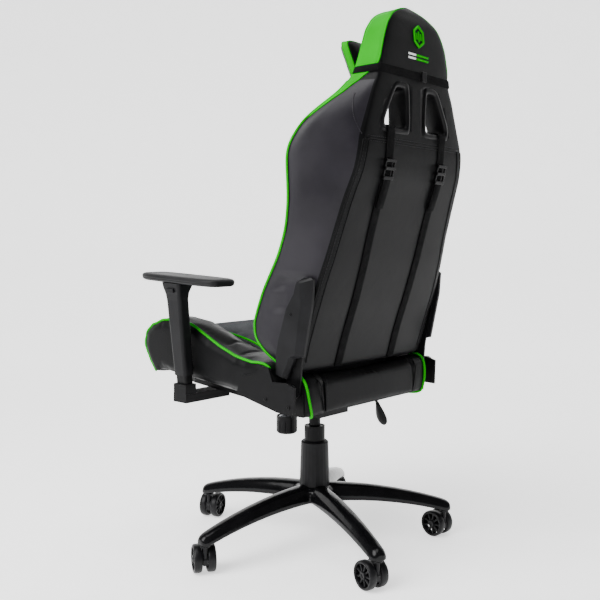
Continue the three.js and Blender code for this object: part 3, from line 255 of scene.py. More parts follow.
def woven(name, dark, light, pitch):
    """A plain weave: two crossed sets of ridges, with darker gaps."""
    look, tree, shader = new_look(name)
    along = texture(tree, "ShaderNodeTexWave", pitch, Distortion=0.3, Detail=1.0)
    across = texture(tree, "ShaderNodeTexWave", pitch, Distortion=0.3, Detail=1.0)
    along.bands_direction = "X"
    across.bands_direction = "Z"
    both = tree.nodes.new("ShaderNodeMath")
    both.operation = "MULTIPLY"
    tree.links.new(along.outputs["Fac"], both.inputs[0])
    tree.links.new(across.outputs["Fac"], both.inputs[1])
    tree.links.new(ramp(tree, both.outputs[0], dark, light, 0.1, 0.7), shader.inputs["Base Color"])
    cloud = texture(tree, "ShaderNodeTexNoise", 60)
    tree.links.new(spread(tree, cloud.outputs[0], *DULL), shader.inputs["Roughness"])
    shader.inputs["Specular IOR Level"].default_value = 0.08
    bump(tree, shader, [(both.outputs[0], 0.5, 0.0006)])
    return look


grey_fabric = woven("grey_fabric", (0.026, 0.028, 0.030), (0.075, 0.078, 0.084), 420)
black_web = woven("black_web", (0.001, 0.001, 0.0012), (0.005, 0.005, 0.0056), 380)
print("two weaves")

# %% [markdown]
# The plastics differ mostly in how far their mould was polished: the base is lacquered and
# glossy, the covers are eroded to a satin, the pads are rubbery. One recipe with a grain, a
# roughness and an optional clear coat makes them all. The black steel is painted, so it is made
# in the same way, and so is the studio's floor, which also glows a little to stay white.

# %% Plastic, rubber and paint
def moulded(name, dark, light, roughness, grain, depth, coat=0.0, gloss=0.25):
    """Plastic, paint or rubber with an eroded grain of a given depth in metres."""
    look, tree, shader = new_look(name)
    cloud = texture(tree, "ShaderNodeTexNoise", 14, Detail=3.0)
    spark = texture(tree, "ShaderNodeTexNoise", grain, Detail=3.0)
    tree.links.new(ramp(tree, cloud.outputs[0], dark, light), shader.inputs["Base Color"])
    tree.links.new(spread(tree, cloud.outputs[0], *roughness), shader.inputs["Roughness"])
    shader.inputs["Specular IOR Level"].default_value = gloss
    shader.inputs["Coat Weight"].default_value = coat
    shader.inputs["Coat Roughness"].default_value = 0.06
    bump(tree, shader, [(spark.outputs[0], 0.25, depth)])
    return look


gloss_base = moulded(
    "gloss_base", (0.002, 0.002, 0.0024), (0.004, 0.004, 0.0045), (0.15, 0.21), 90, 0.0002, 0.12, 0.1
)
satin_plastic = moulded(
    "satin_plastic", (0.0035, 0.0035, 0.004), (0.0075, 0.0075, 0.0085), (0.38, 0.5), 1600, 0.00025,
    gloss=0.13,
)
bezel_plastic = moulded(
    "bezel_plastic", (0.001, 0.001, 0.0012), (0.003, 0.003, 0.0034), (0.3, 0.42), 1400, 0.0002, gloss=0.13
)
shield_plastic = moulded(
    "shield_plastic", (0.002, 0.002, 0.0022), (0.004, 0.004, 0.0045), (0.42, 0.55), 1500, 0.0002, gloss=0.1
)
caster_plastic = moulded(
    "caster_plastic", (0.004, 0.004, 0.0045), (0.008, 0.008, 0.009), (0.32, 0.44), 900, 0.0002, gloss=0.16
)
pad_rubber = moulded(
    "pad_rubber", (0.005, 0.005, 0.0055), (0.011, 0.011, 0.012), (0.45, 0.58), 1100, 0.0006, gloss=0.18
)
black_steel = moulded(
    "black_steel", (0.002, 0.002, 0.0022), (0.004, 0.004, 0.0044), (0.34, 0.46), 700, 0.00015, gloss=0.1
)
floor_paint = moulded("floor_paint", (0.90, 0.90, 0.90), (0.94, 0.94, 0.94), (0.7, 0.9), 30, 0.0002)
glow = floor_paint.node_tree.nodes["Principled BSDF"]
glow.inputs["Emission Color"].default_value = (1, 1, 1, 1)
glow.inputs["Emission Strength"].default_value = 1.0
print("seven plastics and paints, and the floor")

# %% [markdown]
# The piston is chromed and the mechanism's pins are bare steel. Metal has no colour of its own
# besides its mirror, so its colour goes to the mirror through Metallic, with faint marks.

# %% Bare metal
def metal(name, dark, light, roughness):
    """Bare or plated metal with faint marks."""
    look, tree, shader = new_look(name)
    cloud = texture(tree, "ShaderNodeTexNoise", 40, Detail=6.0)
    tree.links.new(ramp(tree, cloud.outputs[0], dark, light), shader.inputs["Base Color"])
    tree.links.new(spread(tree, cloud.outputs[0], *roughness), shader.inputs["Roughness"])
    shader.inputs["Metallic"].default_value = 1.0
    bump(tree, shader, [(cloud.outputs[0], 0.08, 0.0003)])
    return look


bright_steel = metal("bright_steel", (0.30, 0.31, 0.33), (0.45, 0.46, 0.48), (0.25, 0.4))
chrome_rod = metal("chrome_rod", (0.7, 0.71, 0.72), (0.82, 0.83, 0.84), (0.05, 0.12))
print("two metals")

# %% [markdown]
# Each CAD part names the slot that its finish comes from. A part that keeps its CAD shape takes
# that finish directly. The shields are duller than the other plastic, so they are set apart.

# %% Finish of each CAD part
SLOTS = {
    "gloss_base": gloss_base,
    "caster_plastic": caster_plastic,
    "satin_plastic": satin_plastic,
    "black_steel": black_steel,
    "bright_steel": bright_steel,
    "chrome_rod": chrome_rod,
    "black_leather": black_leather,
    "green_leather": green_leather,
    "grey_fabric": grey_fabric,
    "webbing": black_web,
    "arm_pad": pad_rubber,
}
for part in frame["record"]["subparts"]:
    node = frame["nodes"][part["node"]]
    node.data.materials.clear()
    node.data.materials.append(SLOTS[part["material_slot"]])
for label in ("left", "right"):
    frame["nodes"][f"side_shield_{label}"].data.materials[0] = shield_plastic
print(len(SLOTS), "materials for", len(frame["nodes"]), "parts")

# %% [markdown]
# In a studio the floor runs up into the wall in one curve, so that no edge shows. A plane with a
# second plane behind it would show a line. One strip is bent up behind the chair instead, turned
# to face the camera, and hung on none of the chair's bodies, so that it isn't part of the chair.

# %% Floor and backdrop
FLOOR_HALF_WIDTH = 12
sweep = [(9, 0), (-3.2, 0), (-3.9, 0.12), (-4.4, 0.5), (-4.7, 1.2), (-4.8, 6)]
across = Vector((-looking.y, looking.x, 0)).normalized()
towards = Vector((-looking.x, -looking.y, 0)).normalized()
floor_points = [
    across * u + towards * v + Vector((0, 0, z))
    for v, z in sweep for u in (-FLOOR_HALF_WIDTH, FLOOR_HALF_WIDTH)
]
floor_faces = [(2 * i, 2 * i + 1, 2 * i + 3, 2 * i + 2) for i in range(len(sweep) - 1)]
floor_mesh = bpy.data.meshes.new("floor")
floor_mesh.from_pydata(floor_points, [], floor_faces)
floor_mesh.shade_smooth()
floor = bpy.data.objects.new("floor", floor_mesh)
floor_mesh.materials.append(floor_paint)
bpy.context.collection.objects.link(floor)
print("floor", 2 * FLOOR_HALF_WIDTH, "m wide")

# %% [markdown]
# Most soft pieces of a chair change their outline slowly along their length. They could be
# sculpted, or cut from a box and subdivided, but then their sizes would be hard to keep. So they
# are skins: a row of outlines, each given in millimetres, joined up like a stack of hoops.

# %% Making a piece from outlines
def outward(mesh):
    """Turns every face of a closed mesh outwards."""
    shell = bmesh.new()
    shell.from_mesh(mesh)
    bmesh.ops.recalc_face_normals(shell, faces=shell.faces)
    shell.to_mesh(mesh)
    shell.free()


def solid(name, points, faces, look, body, replaced=()):
    """A mesh from millimetre points, hung on a body, in place of some CAD parts."""
    mesh = bpy.data.meshes.new(name)
    mesh.from_pydata([at(*point) for point in points], [], faces)
    mesh.update()
    mesh.shade_smooth()
    piece = bpy.data.objects.new(name, mesh)
    bpy.context.collection.objects.link(piece)
    mesh.materials.append(look)
    outward(mesh)
    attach(piece, body)
    if replaced:
        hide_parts(*replaced)
    return piece


def skin(rings, looped=False):
    """Points and faces of a skin over outlines that all have the same number of points."""
    count = len(rings[0])
    points = [tuple(point) for ring in rings for point in ring]
    faces = []
    last = len(rings) if looped else len(rings) - 1
    for r in range(last):
        a, b = r * count, ((r + 1) % len(rings)) * count
        for i in range(count):
            j = (i + 1) % count
            faces.append((a + i, a + j, b + j, b + i))
    if not looped:
        faces.append(tuple(range(count)))
        faces.append(tuple(range(len(points) - count, len(points))))
    return points, faces


def rounded(corners, steps):
    """A closed outline drawn as a smooth spline round its corners."""
    points = [Vector(corner) for corner in corners]
    count = len(points)
    out = []
    for i in range(count):
        a, b, c, d = (points[(i + k) % count] for k in (-1, 0, 1, 2))
        for s in range(steps):
            t = s / steps
            u = 1 - t
            near = (3 * t**3 - 6 * t**2 + 4) * b
            far = (1 + 3 * t + 3 * t**2 - 3 * t**3) * c
            out.append((u**3 * a + near + far + t**3 * d) / 6)
    return out


def bake(piece):
    """Applies all of a piece's modifiers."""
    graph = bpy.context.evaluated_depsgraph_get()
    done = bpy.data.meshes.new_from_object(piece.evaluated_get(graph))
    piece.modifiers.clear()
    piece.data = done


# %% [markdown]
# The backrest cover is one sewn shell over foam. It is flat behind, has a side panel that runs
# forwards to each wing's edge, and a hollow between the wings. Its size at every height is kept
# in tables, and a reader rounds off their corners, so one number can be moved without a dent.

# %% Reading a table of measures
def between(table, key):
    """Reads a table of (key, value) rows, straight between two rows."""
    if key <= table[0][0]:
        return table[0][1]
    for (k0, v0), (k1, v1) in zip(table, table[1:]):
        if key <= k1:
            return v0 + (v1 - v0) * (key - k0) / (k1 - k0)
    return table[-1][1]


def soft(table, key, reach=12):
    """Reads a table of (key, value) rows, rounded off over a short reach."""
    return sum(between(table, key + reach * k) for k in (-1, -0.5, 0, 0.5, 1)) / 5


# %% [markdown]
# These are the cover's own measures at each height: how far back its rear face is, how wide the
# face and the wings are, how far forwards the wings reach and how round the corners are. One
# function turns them into an outline. Half is worked out, and the other half is its mirror image.

# %% Backrest measures
REAR_Y = [
    (455, 147), (524, 167), (569, 182), (605, 195), (693, 222), (745, 236), (823, 259),
    (880, 279), (920, 285), (1160, 285), (1200, 281), (1225, 270), (1236, 258),
]
REAR_HALF = [
    (455, 228), (514, 231), (569, 230), (635, 229), (740, 214), (820, 206), (886, 195),
    (945, 189), (1001, 167), (1060, 145), (1072, 134), (1110, 129), (1156, 116), (1185, 101),
    (1205, 82), (1220, 54), (1230, 22), (1234, 4),
]
WING_X = [
    (470, 229), (492, 232), (560, 235), (627, 240), (707, 250), (763, 258), (820, 265),
    (911, 270), (933, 268), (972, 255), (997, 235), (1036, 190), (1075, 142), (1103, 128),
    (1135, 115), (1176, 101), (1206, 76), (1220, 50), (1230, 20), (1234, 4),
]
WING_Y = [
    (462, 116), (479, 88), (492, 60), (525, 27), (560, 25), (627, 56), (707, 112), (763, 140),
    (820, 153), (911, 153), (933, 158), (972, 178), (997, 195), (1036, 220), (1230, 222),
]
CORNER = [(455, 12), (560, 14), (650, 16), (760, 14), (860, 10), (940, 7), (1236, 7)]
BULGE = [(1000, 5), (1065, 1)]
BACK_THICKNESS = 72
HEAD_FRONT = [(940, 213), (966, 244), (1060, 244), (1100, 222)]
ARM_COVER_X, ARM_COVER_Z, ARM_COVER_TOP_Z = 228.6, 655, 668
CROWN_Z = 1150


def reach_at(z):
    """How far the tables are rounded off: less at the crown, where they change fast."""
    return 5 if z > CROWN_Z else 12


def back_ring(z, inset=0.0):
    """One level outline of the backrest, as (x, y) pairs all the way round."""
    reach = reach_at(z)
    rear = soft(REAR_Y, z, reach)
    half = soft(REAR_HALF, z, reach)
    wing_x = soft(WING_X, z, reach)
    wing_y = soft(WING_Y, z, 8)
    corner = min(soft(CORNER, z), half * 0.4)
    front = rear - BACK_THICKNESS
    if z > HEAD_FRONT[0][0]:
        front = min(soft(HEAD_FRONT, z), rear - 30)
    inner = min(150, max(wing_x - 34, 2) * 0.82)
    sweep = max(wing_x - 34, inner + 1)
    bulge = between(BULGE, z)
    side = [
        (half + (wing_x - half) * t + bulge * math.sin(math.pi * t), rear + (wing_y + 12 - rear) * t)
        for t in (0.2, 0.35, 0.5, 0.65, 0.8, 0.92)
    ]
    right = [
        (half * 0.3, rear + 1.5),
        (half * 0.65, rear + 1.5),
        (half - corner, rear + 1),
        (half - corner * 0.3, rear - corner * 0.12),
        (half, rear - corner * 0.55),
        *side,
        (wing_x, wing_y + 5),
        (wing_x - 4, wing_y - 1),
        (wing_x - 12, wing_y - 3),
        (wing_x - min(22, wing_x * 0.3), wing_y),
        (sweep, min(wing_y + 8, front + 2) if z > 1000 else wing_y + 10),
        (inner + (sweep - inner) * 0.5, front + (wing_y + 8 - front) * 0.35),
        (inner, front - 2),
        (inner * 0.8, front - 3),
        (inner * 0.35, front - 2),
    ]
    if z < ARM_COVER_TOP_Z:
        limit = ARM_COVER_X + max(0, z - ARM_COVER_Z) * 0.5
        right = [(min(x, limit) if y > 100 else x, y) for x, y in right]
    ring = right + [(-x, y) for x, y in reversed(right)]
    middle = rear - BACK_THICKNESS / 2
    if inset:
        ring = [(x * (1 - inset / 120), middle + (y - middle) * (1 - inset / 60)) for x, y in ring]
    return ring


def back_rear(z):
    """Depth of the cover's rear face at a height."""
    return soft(REAR_Y, z, reach_at(z)) + 1.4


print("backrest", len(WING_X), "wing measures up to", WING_X[-1][0])

# %% [markdown]
# Two slanted openings under the head let the cushion's straps through. They could be drawn into
# the outlines, but a hole in a stack of hoops is awkward. It is easier to cut them out of the
# finished shell with two prisms that have the same rounded outline as the plastic bezels.

# %% Belt holes
BELT_HOLE = [(38, 972), (114, 972), (116, 986), (78, 1050), (70, 1056), (40, 1056), (36, 986)]


def hole_outline(side, margin):
    """The rounded outline of a belt hole, grown outwards by a margin."""
    corners = []
    count = len(BELT_HOLE)
    for i, (x, z) in enumerate(BELT_HOLE):
        here = Vector((x, z))
        before = (here - Vector(BELT_HOLE[i - 1])).normalized()
        after = (Vector(BELT_HOLE[(i + 1) % count]) - here).normalized()
        out = (Vector((before.y, -before.x)) + Vector((after.y, -after.x))).normalized()
        grow = margin / max(out.dot(Vector((before.y, -before.x))), 0.6)
        corners.append(here + out * grow)
    dense = []
    for i, here in enumerate(corners):
        there = corners[(i + 1) % count]
        gap = (there - here).length
        near = min(0.35, 5 / gap)
        dense += [here + (there - here) * t for t in (near, 0.5, 1 - near)]
    return [(side * point.x, point.y) for point in rounded(dense, 3)]


print("belt hole", max(z for _, z in BELT_HOLE) - min(z for _, z in BELT_HOLE), "mm high")

# %% [markdown]
# The sewn shell is black behind and in front, with green shoulders. Its side panels take a lighter,
# violet-grey copy of the black leather, which is painted light for the light that falls on the
# chair's sides. Three covers would gape where they meet, so it is one mesh and each face takes
# its colour from its height and its place in the outline.

# %% Backrest shell
SIDE_PLACES = (*range(12, 33), *range(87, 108))
SIDE_TOP_Z, GREEN_FOOT_Z = 1062, 1112
HOLE_CLEARANCE = 9
levels = [458, 460, 464, 470] + [480 + 9.4 * i for i in range(74)] + [1178, 1184, 1190, 1196, 1202]
levels += [1207, 1212, 1216, 1220, 1224, 1227, 1230, 1232, 1234]
levels = sorted(set(levels))
insets = {458: 9, 460: 4.5, 464: 1.5}
rings = []
for z in levels:
    outline = rounded([(x, y, z) for x, y in back_ring(z, insets.get(z, 0))], 3)
    rings.append(outline)
points, faces = skin(rings)
shell_nodes = ["back_panel", "back_wing_left", "back_wing_right", "back_head"]
shell = solid("backrest_cover", points, faces, black_leather, "backrest", shell_nodes)
shell.data.materials.append(side_leather)
shell.data.materials.append(green_leather)
PER_RING = len(rings[0])
for polygon in shell.data.polygons[: PER_RING * (len(levels) - 1)]:
    ring, place = divmod(polygon.index, PER_RING)
    # Side-panel faces take the lighter leather copy, which paints in the light on the chair's sides.
    if place in SIDE_PLACES:
        height = levels[ring]
        polygon.material_index = 1 if height < SIDE_TOP_Z else (2 if height > GREEN_FOOT_Z else 0)

# %% [markdown]
# On the real chair the cover is turned in round each opening. Here a boolean cuts the openings
# through the shell. The two prisms are removed again afterwards, since they are only tools.

# %% Cutting the belt holes
cutters = []
for side in (1, -1):
    outline = hole_outline(side, HOLE_CLEARANCE)
    points, faces = skin([[(x, y, z) for x, z in outline] for y in (120, 330)])
    cutter = solid("hole_tool", points, faces, black_leather, "backrest")
    cut = shell.modifiers.new("hole", "BOOLEAN")
    cut.object = cutter
    cut.solver = "EXACT"
    cutters.append(cutter)
bake(shell)
for cutter in cutters:
    bpy.data.objects.remove(cutter)
print("backrest cover", len(shell.data.polygons), "faces")

# %% [markdown]
# Piping and seams are sewn onto a cover, so they must neither sink into it nor float. They could
# be shrink-wrapped one by one, but it is simpler to ask the surface where it is. A search tree of
# its faces answers for a point behind it, or for the nearest point on it.

# %% Finding the surface of a cover
def surface_map(piece):
    """A search tree of a piece's faces."""
    mesh = piece.data
    return BVHTree.FromPolygons(
        [vertex.co for vertex in mesh.vertices], [tuple(face.vertices) for face in mesh.polygons]
    )


BEHIND_Y = 420
cover_map = surface_map(shell)
axis_point = at(0, 0, 0)


def on_rear(x, z, lift=0.2):
    """A point on the cover's rear face, in millimetres."""
    spot, normal, _, _ = cover_map.ray_cast(at(x, BEHIND_Y, z), Vector((0, -1, 0)))
    if spot is None:
        return Vector((x, back_rear(z) + lift, z))
    return (spot - axis_point) * 1000 + normal * lift


def on_cover(point, lift, surface=cover_map):
    """The nearest point of a padded surface, lifted off it, in millimetres."""
    spot, normal, _, _ = surface.find_nearest(at(*point))
    return (spot - axis_point) * 1000 + normal * lift


print("rear face at", [round(v) for v in on_rear(0, 900)])

# %% [markdown]
# A plastic bezel lines each belt hole. A bevelled solid with a hole would do, but a ring is
# quicker: the hole's outline is grown by a row of margins and depths that trace the bezel's
# section, and the row is joined up into a loop.

# %% Belt hole bezels
for label, side in (("left", 1), ("right", -1)):
    profile = [
        (0, 262), (0, 284), (1.5, 287.2), (6, 288.6), (10.5, 288), (13.4, 285.8), (13.6, 278),
        (10.2, 268), (10.2, 252), (12.5, 243), (11.5, 238.5), (7, 236.5), (2, 238), (0, 242),
    ]
    rings = [[(x, y, z) for x, z in hole_outline(side, margin)] for margin, y in profile]
    points, faces = skin(rings, looped=True)
    solid(
        f"belt_bezel_ring_{label}", points, faces, bezel_plastic, "backrest",
        [f"belt_bezel_{label}"],
    )
print("bezel outline", len(rings[0]), "points")

# %% [markdown]
# Piping is a cord sewn into the seam between two panels. A curve with a round bevel would make
# it, but the frame of a curve can twist. So a ring is carried along the path and turned only as
# far as the path turns. The path itself is snapped to the cover and then smoothed.

# %% Piping along a path
PIPING = 2.9
SNAP_SMOOTHING = 3


def flowing(points, steps):
    """An open path that runs smoothly through its points."""
    spots = [Vector(point) for point in points]
    ends = [2 * spots[0] - spots[1], *spots, 2 * spots[-1] - spots[-2]]
    out = []
    for a, b, c, d in zip(ends, ends[1:], ends[2:], ends[3:]):
        for s in range(steps):
            t = s / steps
            out.append(b + 0.5 * t * (c - a + t * (2 * a - 5 * b + 4 * c - d + t * (3 * (b - c) + d - a))))
    out.append(spots[-1])
    return out


def tube(name, path, radius, look, body, sides=8, closed=False, replaced=()):
    """A round bar, piping or thread swept along a path."""
    count = len(path)
    rings = []
    side = None
    for i, point in enumerate(path):
        before = path[i - 1] if i or closed else path[i]
        after = path[(i + 1) % count] if i < count - 1 or closed else path[i]
        along = (after - before).normalized()
        if side is None:
            side = along.orthogonal().normalized()
        side = (side - along * side.dot(along)).normalized()
        up = along.cross(side)
        ring = []
        for k in range(sides):
            angle = 2 * math.pi * k / sides
            ring.append(point + radius * (math.cos(angle) * side + math.sin(angle) * up))
        rings.append(ring)
    points, faces = skin(rings, looped=closed)
    return solid(name, points, faces, look, body, replaced)


# %% [markdown]
# The wings' green piping runs from the foot of the backrest, round the widest part and in to the
# shoulder. Snapping alone would make it jump where the cover has a corner, so the snapped points
# are averaged with their neighbours a few times.

# %% Green piping of the wings
for label, side in (("left", 1), ("right", -1)):
    low_end = [(225, 112, 466), (230, 86, 478)]
    heights = [492, 508, 525, 545, 565, 590, 620, 650, 680, 710, 740, 770, 800, 830, 860, 890, 911]
    heights += [933, 952, 972, 985, 997, 1010, 1024, 1036, 1050, 1064]
    run = [(soft(WING_X, z) - 1, soft(WING_Y, z, 8) - 1, z) for z in heights]
    path = flowing([(side * x, y, z) for x, y, z in low_end + run], 3)
    path = [on_cover(point, 1.4) for point in path]
    for _ in range(SNAP_SMOOTHING):
        inner_points = [(p + 2 * q + r) / 4 for p, q, r in zip(path, path[1:], path[2:])]
        path = [path[0], *inner_points, path[-1]]
    tube(f"wing_piping_{label}", path, PIPING, green_piping, "backrest", 10)
print("wing piping", len(path), "points a side")

# %% [markdown]
# The green gusset runs up one shoulder, over the head and down the other. It could be painted on
# the shell, but its edges are seams that catch the light. So it is a thin strip laid on the side
# of the shell, which widens from the piping to the full thickness of the head.

# %% Head gusset
gusset_levels = [985, 997, 1010, 1023, 1036, 1050, 1062, 1075, 1090, 1105, 1120, 1135, 1150, 1163, 1176]
gusset_levels += [1186, 1196, 1205, 1213, 1220, 1226, 1230]
TOP_SEAM_Z = 1232
WIDENING = [(985, 0.05), (1023, 0.16), (1050, 0.3), (1075, 0.55), (1092, 0.9), (1110, 1.0), (1236, 1.0)]
track = [(soft(WING_X, z, reach_at(z)), z) for z in gusset_levels]
track = track + [(0, 1235.2)] + [(-x, z) for x, z in reversed(track)]
rings = []
for x, z in track:
    wide = between(WIDENING, z)
    front = soft(WING_Y, z, 8) + 1
    rear = soft(REAR_Y, z, reach_at(z)) - 2
    half = soft(REAR_HALF, z, reach_at(z))
    ring = []
    for t in (0, 0.06, 0.2, 0.4, 0.6, 0.8, 0.94, 1.0):
        share = wide * t
        spot = (x + (math.copysign(half, x) - x) * share, front + (rear - front) * share, z)
        if z > TOP_SEAM_Z:
            spot = (0, front + (rear - front) * share, z)
        ring.append(on_cover(spot, 1.6 if 0 < t < 1 else 0.6))
    inside = [on_cover(spot, -3) for spot in (ring[7], ring[4], ring[0])]
    rings.append(ring + inside)
points, faces = skin(rings)
solid("head_gusset", points, faces, green_leather, "backrest")

for name, edge, radius in (("head_piping_front", 0, 2.2), ("head_piping_rear", 7, 1.8)):
    line = flowing([ring[edge] for ring in rings], 2)
    tube(name, line, radius, green_piping, "backrest")
print("gusset", len(rings), "sections")

# %% [markdown]
# Threads show as short raised dashes beside each seam. A dashed texture would be flat, and it
# would need unwrapping. Here each stitch is a small bar of its own, set down every few
# millimetres along the line, and a whole row is one mesh.

# %% A row of stitches
STITCH_PITCH, STITCH_LENGTH, THREAD_WIDTH = 7.0, 4.6, 0.9


def stitches(name, path, look, body, normal):
    """A row of short raised threads along a path, standing on the surface."""
    points, faces = [], []
    travelled, due = 0.0, 0.0
    up = Vector(normal).normalized()
    for a, b in zip(path, path[1:]):
        step = (b - a).length
        while due < travelled + step:
            centre = a + (b - a) * ((due - travelled) / step)
            along = (b - a).normalized()
            across = along.cross(up).normalized()
            first = len(points)
            for reach, lift in ((-0.5, 0.0), (-0.25, 0.55), (0.25, 0.55), (0.5, 0.0)):
                spine = centre + along * STITCH_LENGTH * reach + up * THREAD_WIDTH * lift
                side = across * THREAD_WIDTH / 2
                points += [spine + side, spine - side, spine + up * THREAD_WIDTH * 0.5]
            for r in range(3):
                for k in range(3):
                    i, j = first + r * 3 + k, first + r * 3 + (k + 1) % 3
                    faces.append((i, j, j + 3, i + 3))
            faces += [(first, first + 1, first + 2), (first + 9, first + 10, first + 11)]
            due += STITCH_PITCH
        travelled += step
    return solid(name, points, faces, look, body)


# %% [markdown]
# The rear panel is bordered by two welts with a row of stitches beside each, and a seam crosses
# it under the belt holes. Grooves would have to be cut into the shell; a thin black cord laid on
# it reads as a seam just as well.

# %% Seams of the backrest
CROSS_SEAM_Z = 943
BORDER_WELT, CROSS_WELT, SHOULDER_WELT = 1.4, 1.5, 1.1
border = [940 - 10 * i for i in range(47)]
for label, side in (("left", 1), ("right", -1)):
    for number, inset in enumerate((3, 20)):
        line = [on_rear(side * (soft(REAR_HALF, z, 30) - inset), z) for z in border]
        tube(
            f"border_welt_{label}_{number}", line, BORDER_WELT, black_leather, "backrest", 6
        )
    for number, inset in enumerate((7, 16)):
        line = [on_rear(side * (soft(REAR_HALF, z, 30) - inset), z, 0.3) for z in border]
        stitches(
            f"border_stitches_{label}_{number}", line, black_thread, "backrest", (0, 1, 0)
        )
cross = [on_rear(-174 + 12 * i, CROSS_SEAM_Z, 0.0) for i in range(30)]
tube("cross_seam", cross, CROSS_WELT, black_leather, "backrest", 6)
for number, drop in enumerate((-5, 5)):
    line = [on_rear(point.x, CROSS_SEAM_Z + drop, 0.3) for point in cross]
    stitches(f"cross_stitches_{number}", line, black_thread, "backrest", (0, 1, 0))
for label, side in (("left", 1), ("right", -1)):
    seam = []
    for i in range(13):
        t = i / 12
        z = 1034 - 84 * t
        half, wing = soft(REAR_HALF, z), soft(WING_X, z)
        rear, front = back_rear(z), soft(WING_Y, z, 8) + 12
        share = 0.52 - 0.5 * t
        x = half + (wing - half) * share + 3.2 * math.sin(math.pi * max(share, 0))
        seam.append(on_cover((side * x, rear + (front - rear) * share, z), 0.2))
    # The shoulder seam takes the same lighter leather copy, painted light like the side panels.
    tube(f"shoulder_seam_{label}", seam, SHOULDER_WELT, side_leather, "backrest", 6)
print("border", len(border), "points a side")

# %% [markdown]
# Buckles and clips are small moulded blocks. No real edge is sharp, so a block is drawn between
# two corners and its edges are bevelled. The same bevel later rounds the parts that keep their
# CAD shape.

# %% Rounded blocks
def soften(piece, radius, segments=3, angle=28):
    """Rounds a piece's sharp edges by a radius in millimetres."""
    edge = piece.modifiers.new("edge", "BEVEL")
    edge.width = radius / 1000
    edge.segments = segments
    edge.limit_method = "ANGLE"
    edge.angle_limit = math.radians(angle)
    edge.harden_normals = True
    for polygon in piece.data.polygons:
        polygon.use_smooth = True


def box_round(name, low, high, radius, look, body, segments=3, turn=None):
    """A block with rounded edges between two corners."""
    x0, y0, z0 = low
    x1, y1, z1 = high
    points = [Vector((x, y, z)) for z in (z0, z1) for y in (y0, y1) for x in (x0, x1)]
    if turn:
        points = [turn @ point for point in points]
    faces = [(0, 1, 3, 2), (4, 5, 7, 6), (0, 1, 5, 4), (2, 3, 7, 6), (0, 2, 6, 4), (1, 3, 7, 5)]
    piece = solid(name, points, faces, look, body)
    soften(piece, radius, segments)
    return piece


# %% [markdown]
# Two straps of plain webbing run up the back, each with a ladder buckle, and fold over into the
# belt holes. Cloth could be dropped on the back, but a strap under tension simply follows it, so
# a flat section is carried up the rear face, with a slight sway so that it isn't ruler-straight.

# %% Straps and buckles
STRAP_X = 98
BUCKLE_Z = 884
STRAP_SECTION = [
    (-12.4, -0.7), (-12.4, 0.5), (-10.5, 0.9), (0, 1.1), (10.5, 0.9), (12.4, 0.5), (12.4, -0.7),
]
TAIL_SECTION = [(-12, -0.6), (-12, 0.6), (12, 0.6), (12, -0.6)]
BUCKLE_BARS = [
    ((-17, -1.5, -20), (-13.5, 3, 22)), ((13.5, -1.5, -20), (17, 3, 22)), ((-17, -1.5, 16), (17, 4.5, 22)),
    ((-17, -1.5, -1), (17, 5.5, 6)), ((-17, -1.5, -21), (17, 4.5, -14)),
]
for label, side in (("left", 1), ("right", -1)):
    run = [(back_rear(z) + 1.6, z) for z in [461 + 9 * i for i in range(53)]]
    run += [(289, 945), (290.5, 954), (291, 963), (290, 970), (286, 974), (280, 975)]
    run += [(262, 975), (238, 975)]
    run = flowing([(0, y, z) for y, z in run], 2)
    rings = []
    for i, spot in enumerate(run):
        before, after = run[max(i - 1, 0)], run[min(i + 1, len(run) - 1)]
        along = (after - before).normalized()
        out = Vector((0, along.z, -along.y))
        sway = 1.2 * math.sin(spot.z / 61 + side)
        ring = []
        for u, v in STRAP_SECTION:
            point = spot + out * v
            ring.append((side * STRAP_X + u + sway, point.y, point.z))
        rings.append(ring)
    points, faces = skin(rings)
    solid(f"strap_{label}", points, faces, black_web, "backrest", [f"cushion_strap_{label}"])
    slope = math.atan2(back_rear(BUCKLE_Z + 20) - back_rear(BUCKLE_Z - 22), 42)
    place = Matrix.Translation(Vector((side * STRAP_X, back_rear(BUCKLE_Z) + 4.2, BUCKLE_Z)))
    turn = place @ Matrix.Rotation(-slope, 4, "X")
    for number, (low, high) in enumerate(BUCKLE_BARS):
        box_round(
            f"buckle_{label}_{number}", low, high, 1.0, bezel_plastic, "backrest", 2, turn
        )
    rings = []
    for z in [868 - 8 * i for i in range(9)]:
        y = back_rear(z) + 5.5 + 2.0 * math.sin((z - 800) / 25)
        rings.append([(side * STRAP_X + u, y + v, z) for u, v in TAIL_SECTION])
    points, faces = skin(rings)
    solid(f"strap_tail_{label}", points, faces, black_web, "backrest")
print("buckle slope", round(math.degrees(slope), 1), "degrees")

# %% [markdown]
# An elastic band goes round the head and holds the head cushion. It hugs the cover, so it takes
# the cover's own outlines at five heights and moves them out by the band's thickness. The last
# two outlines are pulled in again to close the band on its inside.

# %% Neck band of the head pillow
BAND_Z = 1088
BAND_DEPTH = 3
band = []
for z, slack in ((1079, 0.5), (1080.5, 3.6), (BAND_Z, 3.9), (1095.5, 3.6), (1097, 0.5)):
    outline = rounded([(x, y, z) for x, y in back_ring(z)], 2)
    middle = Vector((0, 250, z))
    band.append([p + (p - middle).normalized() * slack for p in outline])
for edge in (band[-1], band[0]):
    band.append([p + (Vector((0, 250, p.z)) - p).normalized() * BAND_DEPTH for p in edge])
points, faces = skin(band, looped=True)
solid("neck_band", points, faces, black_web, "backrest")
turn = Matrix.Translation(Vector((-20, back_rear(BAND_Z) + 3.2, BAND_Z)))
box_round(
    "neck_band_clip", (-9, 0, -11), (9, 4, 11), 1.4, bezel_plastic, "backrest", turn=turn
)
print("neck band", len(band), "outlines")

# %% [markdown]
# A plain emblem is embroidered on the head: a hexagon with three bars, and four short rules
# below it. Embroidery stands a little proud of the cover. A bump could only hint at that, so the
# lines are thick cords pressed into the surface.

